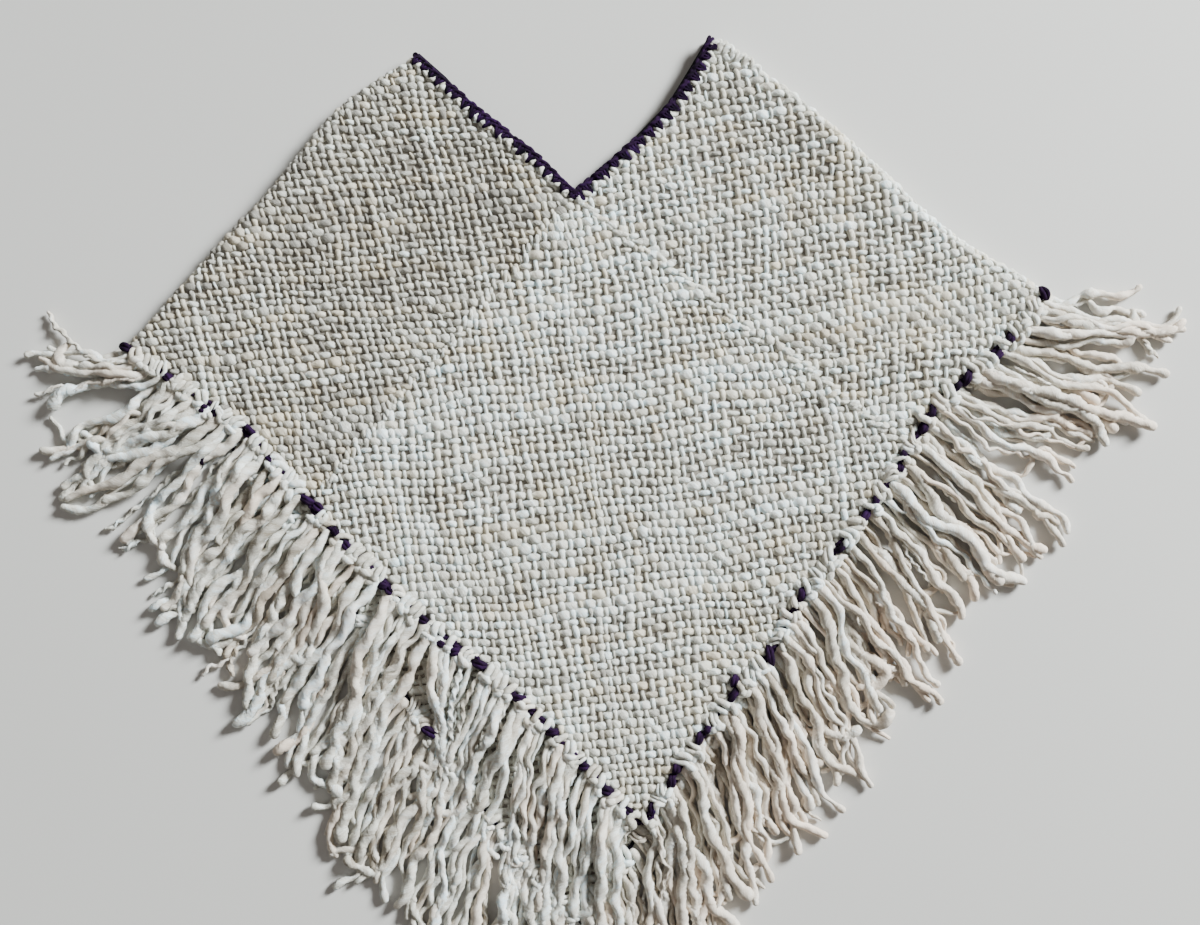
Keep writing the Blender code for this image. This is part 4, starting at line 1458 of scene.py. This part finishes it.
# %% Yarns of the back's visible strip
# The yarns go this far in under the front.
UNDER_FRONT = 22


def between_hems(layer, inset):
    """Closed outline of a layer between its two hems, set in from both."""
    left, right = (
        hems[layer, side].line.at(reading) - hems[layer, side].outward(reading) * inset for side in SIDES
    )
    return np.vstack([left, right[::-1]])


back_outline, hidden = between_hems("back", 0), between_hems("front", UNDER_FRONT)
back_spots = crossings((-100, -150), (6.5, 7.0), (0.4, 0.6), (6.9, 7.2), (50, 46), 14)


def weave_back(name, spots, kind):
    skein = Skein(5)
    dice = np.random.default_rng(kind["seed"] + 9)
    place = np.arange((spots.shape[1] - 1) * PER + 1) / PER
    for j in range(len(spots)):
        plan = smooth_run(spots[j], place)
        held = inside(plan, back_outline) & ~inside(plan, hidden)
        surface, normals = lay_back(plan)
        over = np.cos(place * math.pi) * (1 if j % 2 else -1) * kind["sign"]
        wide = kind["wide"][0] * np.exp(0.16 * wander(len(place), 11, dice))
        points = surface - normals * (MID - over * LIFT)[:, None]
        points[:, 2] = np.maximum(points[:, 2], wide + 0.2)
        tone = 0.58 + 0.1 * wander(len(place), 20, dice)
        for cut in runs_of(held):
            skein.add(points[cut], normals[cut], wide[cut], kind["high"], tone[cut], 0.12)
    return skein.make(name, cloth_wool, "cloth")


back_weave = [
    weave_back("back_rows", back_spots, ROW),
    weave_back("back_columns", back_spots.transpose(1, 0, 2), COLUMN),
]

# %% [markdown]
# ## For each square, the size it was woven to is worked out, and the pieces on it are listed.
# Each square is declared as a sheet with the size it was woven to, and with the pieces on it.


def plan_area(grid):
    """Area of a grid of plan points, in square metres."""
    a, b = grid[1:, 1:] - grid[:-1, :-1], grid[1:, :-1] - grid[:-1, 1:]
    return float(np.abs(a[..., 0] * b[..., 1] - a[..., 1] * b[..., 0]).sum() / 2) * 1e-6


fine = np.linspace(0, 1, 60)
areas = {layer: plan_area(square_plan(layer, fine)) for layer in LAYERS}
# A shoulder square is cut in one, and its two halves lie on each other.
for side in SIDES:
    areas[side] = sum(plan_area(shoulder_plan(layer, side, fine, fine)) for layer in LAYERS)
print("cut areas, m2:", {name: round(area, 4) for name, area in areas.items()})
CUTS = {"front": (0.36, 0.37), "back": (0.38, 0.40), "left": (0.36, 0.38), "right": (0.35, 0.35)}
fringe_of = {layer: [*fringes[layer, "left"], *fringes[layer, "right"]] for layer in LAYERS}
going_with = {
    "front": [*woven["front"], *seam_pieces, *fringe_of["front"], *hem_yarns],
    "back": [*back_weave, *fringe_of["back"], dark_yarn_in_parting],
    "left": [*woven["left"], *neck_pieces["left"]],
    "right": [*woven["right"], *neck_pieces["right"]],
}
for name, piece in sheets.items():
    cut, rests = CUTS[name], [] if name == "back" else [sheets["back"].name]
    area = min(areas[name], cut[0] * cut[1])
    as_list(going_with[name])

# %% [markdown]
# ## Floor, light and camera
# A plain pale floor under soft studio light. The light comes low from the upper right, as on the
# real cloth, which shows up every yarn. Most of it is a broad far light, so that the floor is even
# on all sides, and a nearer one adds a little fall-off across the cloth. A pale sky fills the
# shadows. The camera looks straight down.

# %% Floor
HALF_FLOOR = 30.0
floor_mesh = bpy.data.meshes.new("floor")
floor_corners = [(x * HALF_FLOOR, y * HALF_FLOOR, 0) for x, y in ((-1, -1), (1, -1), (1, 1), (-1, 1))]
floor_mesh.from_pydata(floor_corners, [], [(0, 1, 2, 3)])
floor = bpy.data.objects.new("floor", floor_mesh)
bpy.context.scene.collection.objects.link(floor)
floor_recipe = Recipe("pale_floor", 0.8, 0.0)
floor_grain = floor_recipe.noise(floor_recipe.here(), 3.0, 2.0)
floor_colour = floor_recipe.blend(floor_grain, (0.60, 0.585, 0.56), (0.64, 0.625, 0.60))
floor_recipe.feed(floor_recipe.shader.inputs["Base Color"], floor_colour)
floor_mesh.materials.append(floor_recipe.material)

# %% Lights


def soft_light(name, kind, place, spread, power, colour):
    """A lamp that looks at the origin. The spread is a size in metres, or an angle for a far light."""
    data = bpy.data.lights.new(name, kind)
    data.energy, data.color = power, colour
    if kind == "SUN":
        data.angle = spread
    else:
        data.shape, data.size = "SQUARE", spread
    lamp = bpy.data.objects.new(name, data)
    lamp.location = place
    x, y, z = place
    lamp.rotation_euler = (math.atan2(math.hypot(x, y), z), 0, math.atan2(-y, -x) - math.pi / 2)
    bpy.context.scene.collection.objects.link(lamp)


DAYLIGHT, SKY, SKY_STRENGTH = (0.935, 0.99, 1.0), (1.0, 0.937, 0.872, 1), 0.19
soft_light("far_key", "SUN", (1.36, 1.0, 0.86), math.radians(14), 6.8, DAYLIGHT)
soft_light("near_key", "AREA", (1.7, 1.25, 1.08), 0.6, 92, DAYLIGHT)
soft_light("fill", "AREA", (-1.6, -0.9, 1.6), 1.6, 3, (0.94, 0.97, 1.0))
world = bpy.data.worlds.new("pale_sky")
world.use_nodes = True
background = world.node_tree.nodes["Background"].inputs
background["Color"].default_value, background["Strength"].default_value = SKY, SKY_STRENGTH
bpy.context.scene.world = world

# %% Camera
# The view is 0.96 m wide at the height of the front cloth, as 1200 pixels of 0.8 mm are.
VIEW_WIDTH, LENS, SENSOR, CLOTH_HEIGHT = 0.960, 45.0, 36.0, 0.011
camera_data = bpy.data.cameras.new("camera")
camera_data.lens, camera_data.sensor_width = LENS, SENSOR
camera = bpy.data.objects.new("camera", camera_data)
camera.location = (*(SHIFT[:2] * 0.001), VIEW_WIDTH * LENS / SENSOR + CLOTH_HEIGHT)
bpy.context.scene.collection.objects.link(camera)
bpy.context.scene.camera = camera

# %% [markdown]
# ## Finish
# The scene is brought up to date. The dressed poncho has to stay in the box of the solids,
# with a little room for soft fibre.

# %% Finish
bpy.context.view_layer.update()
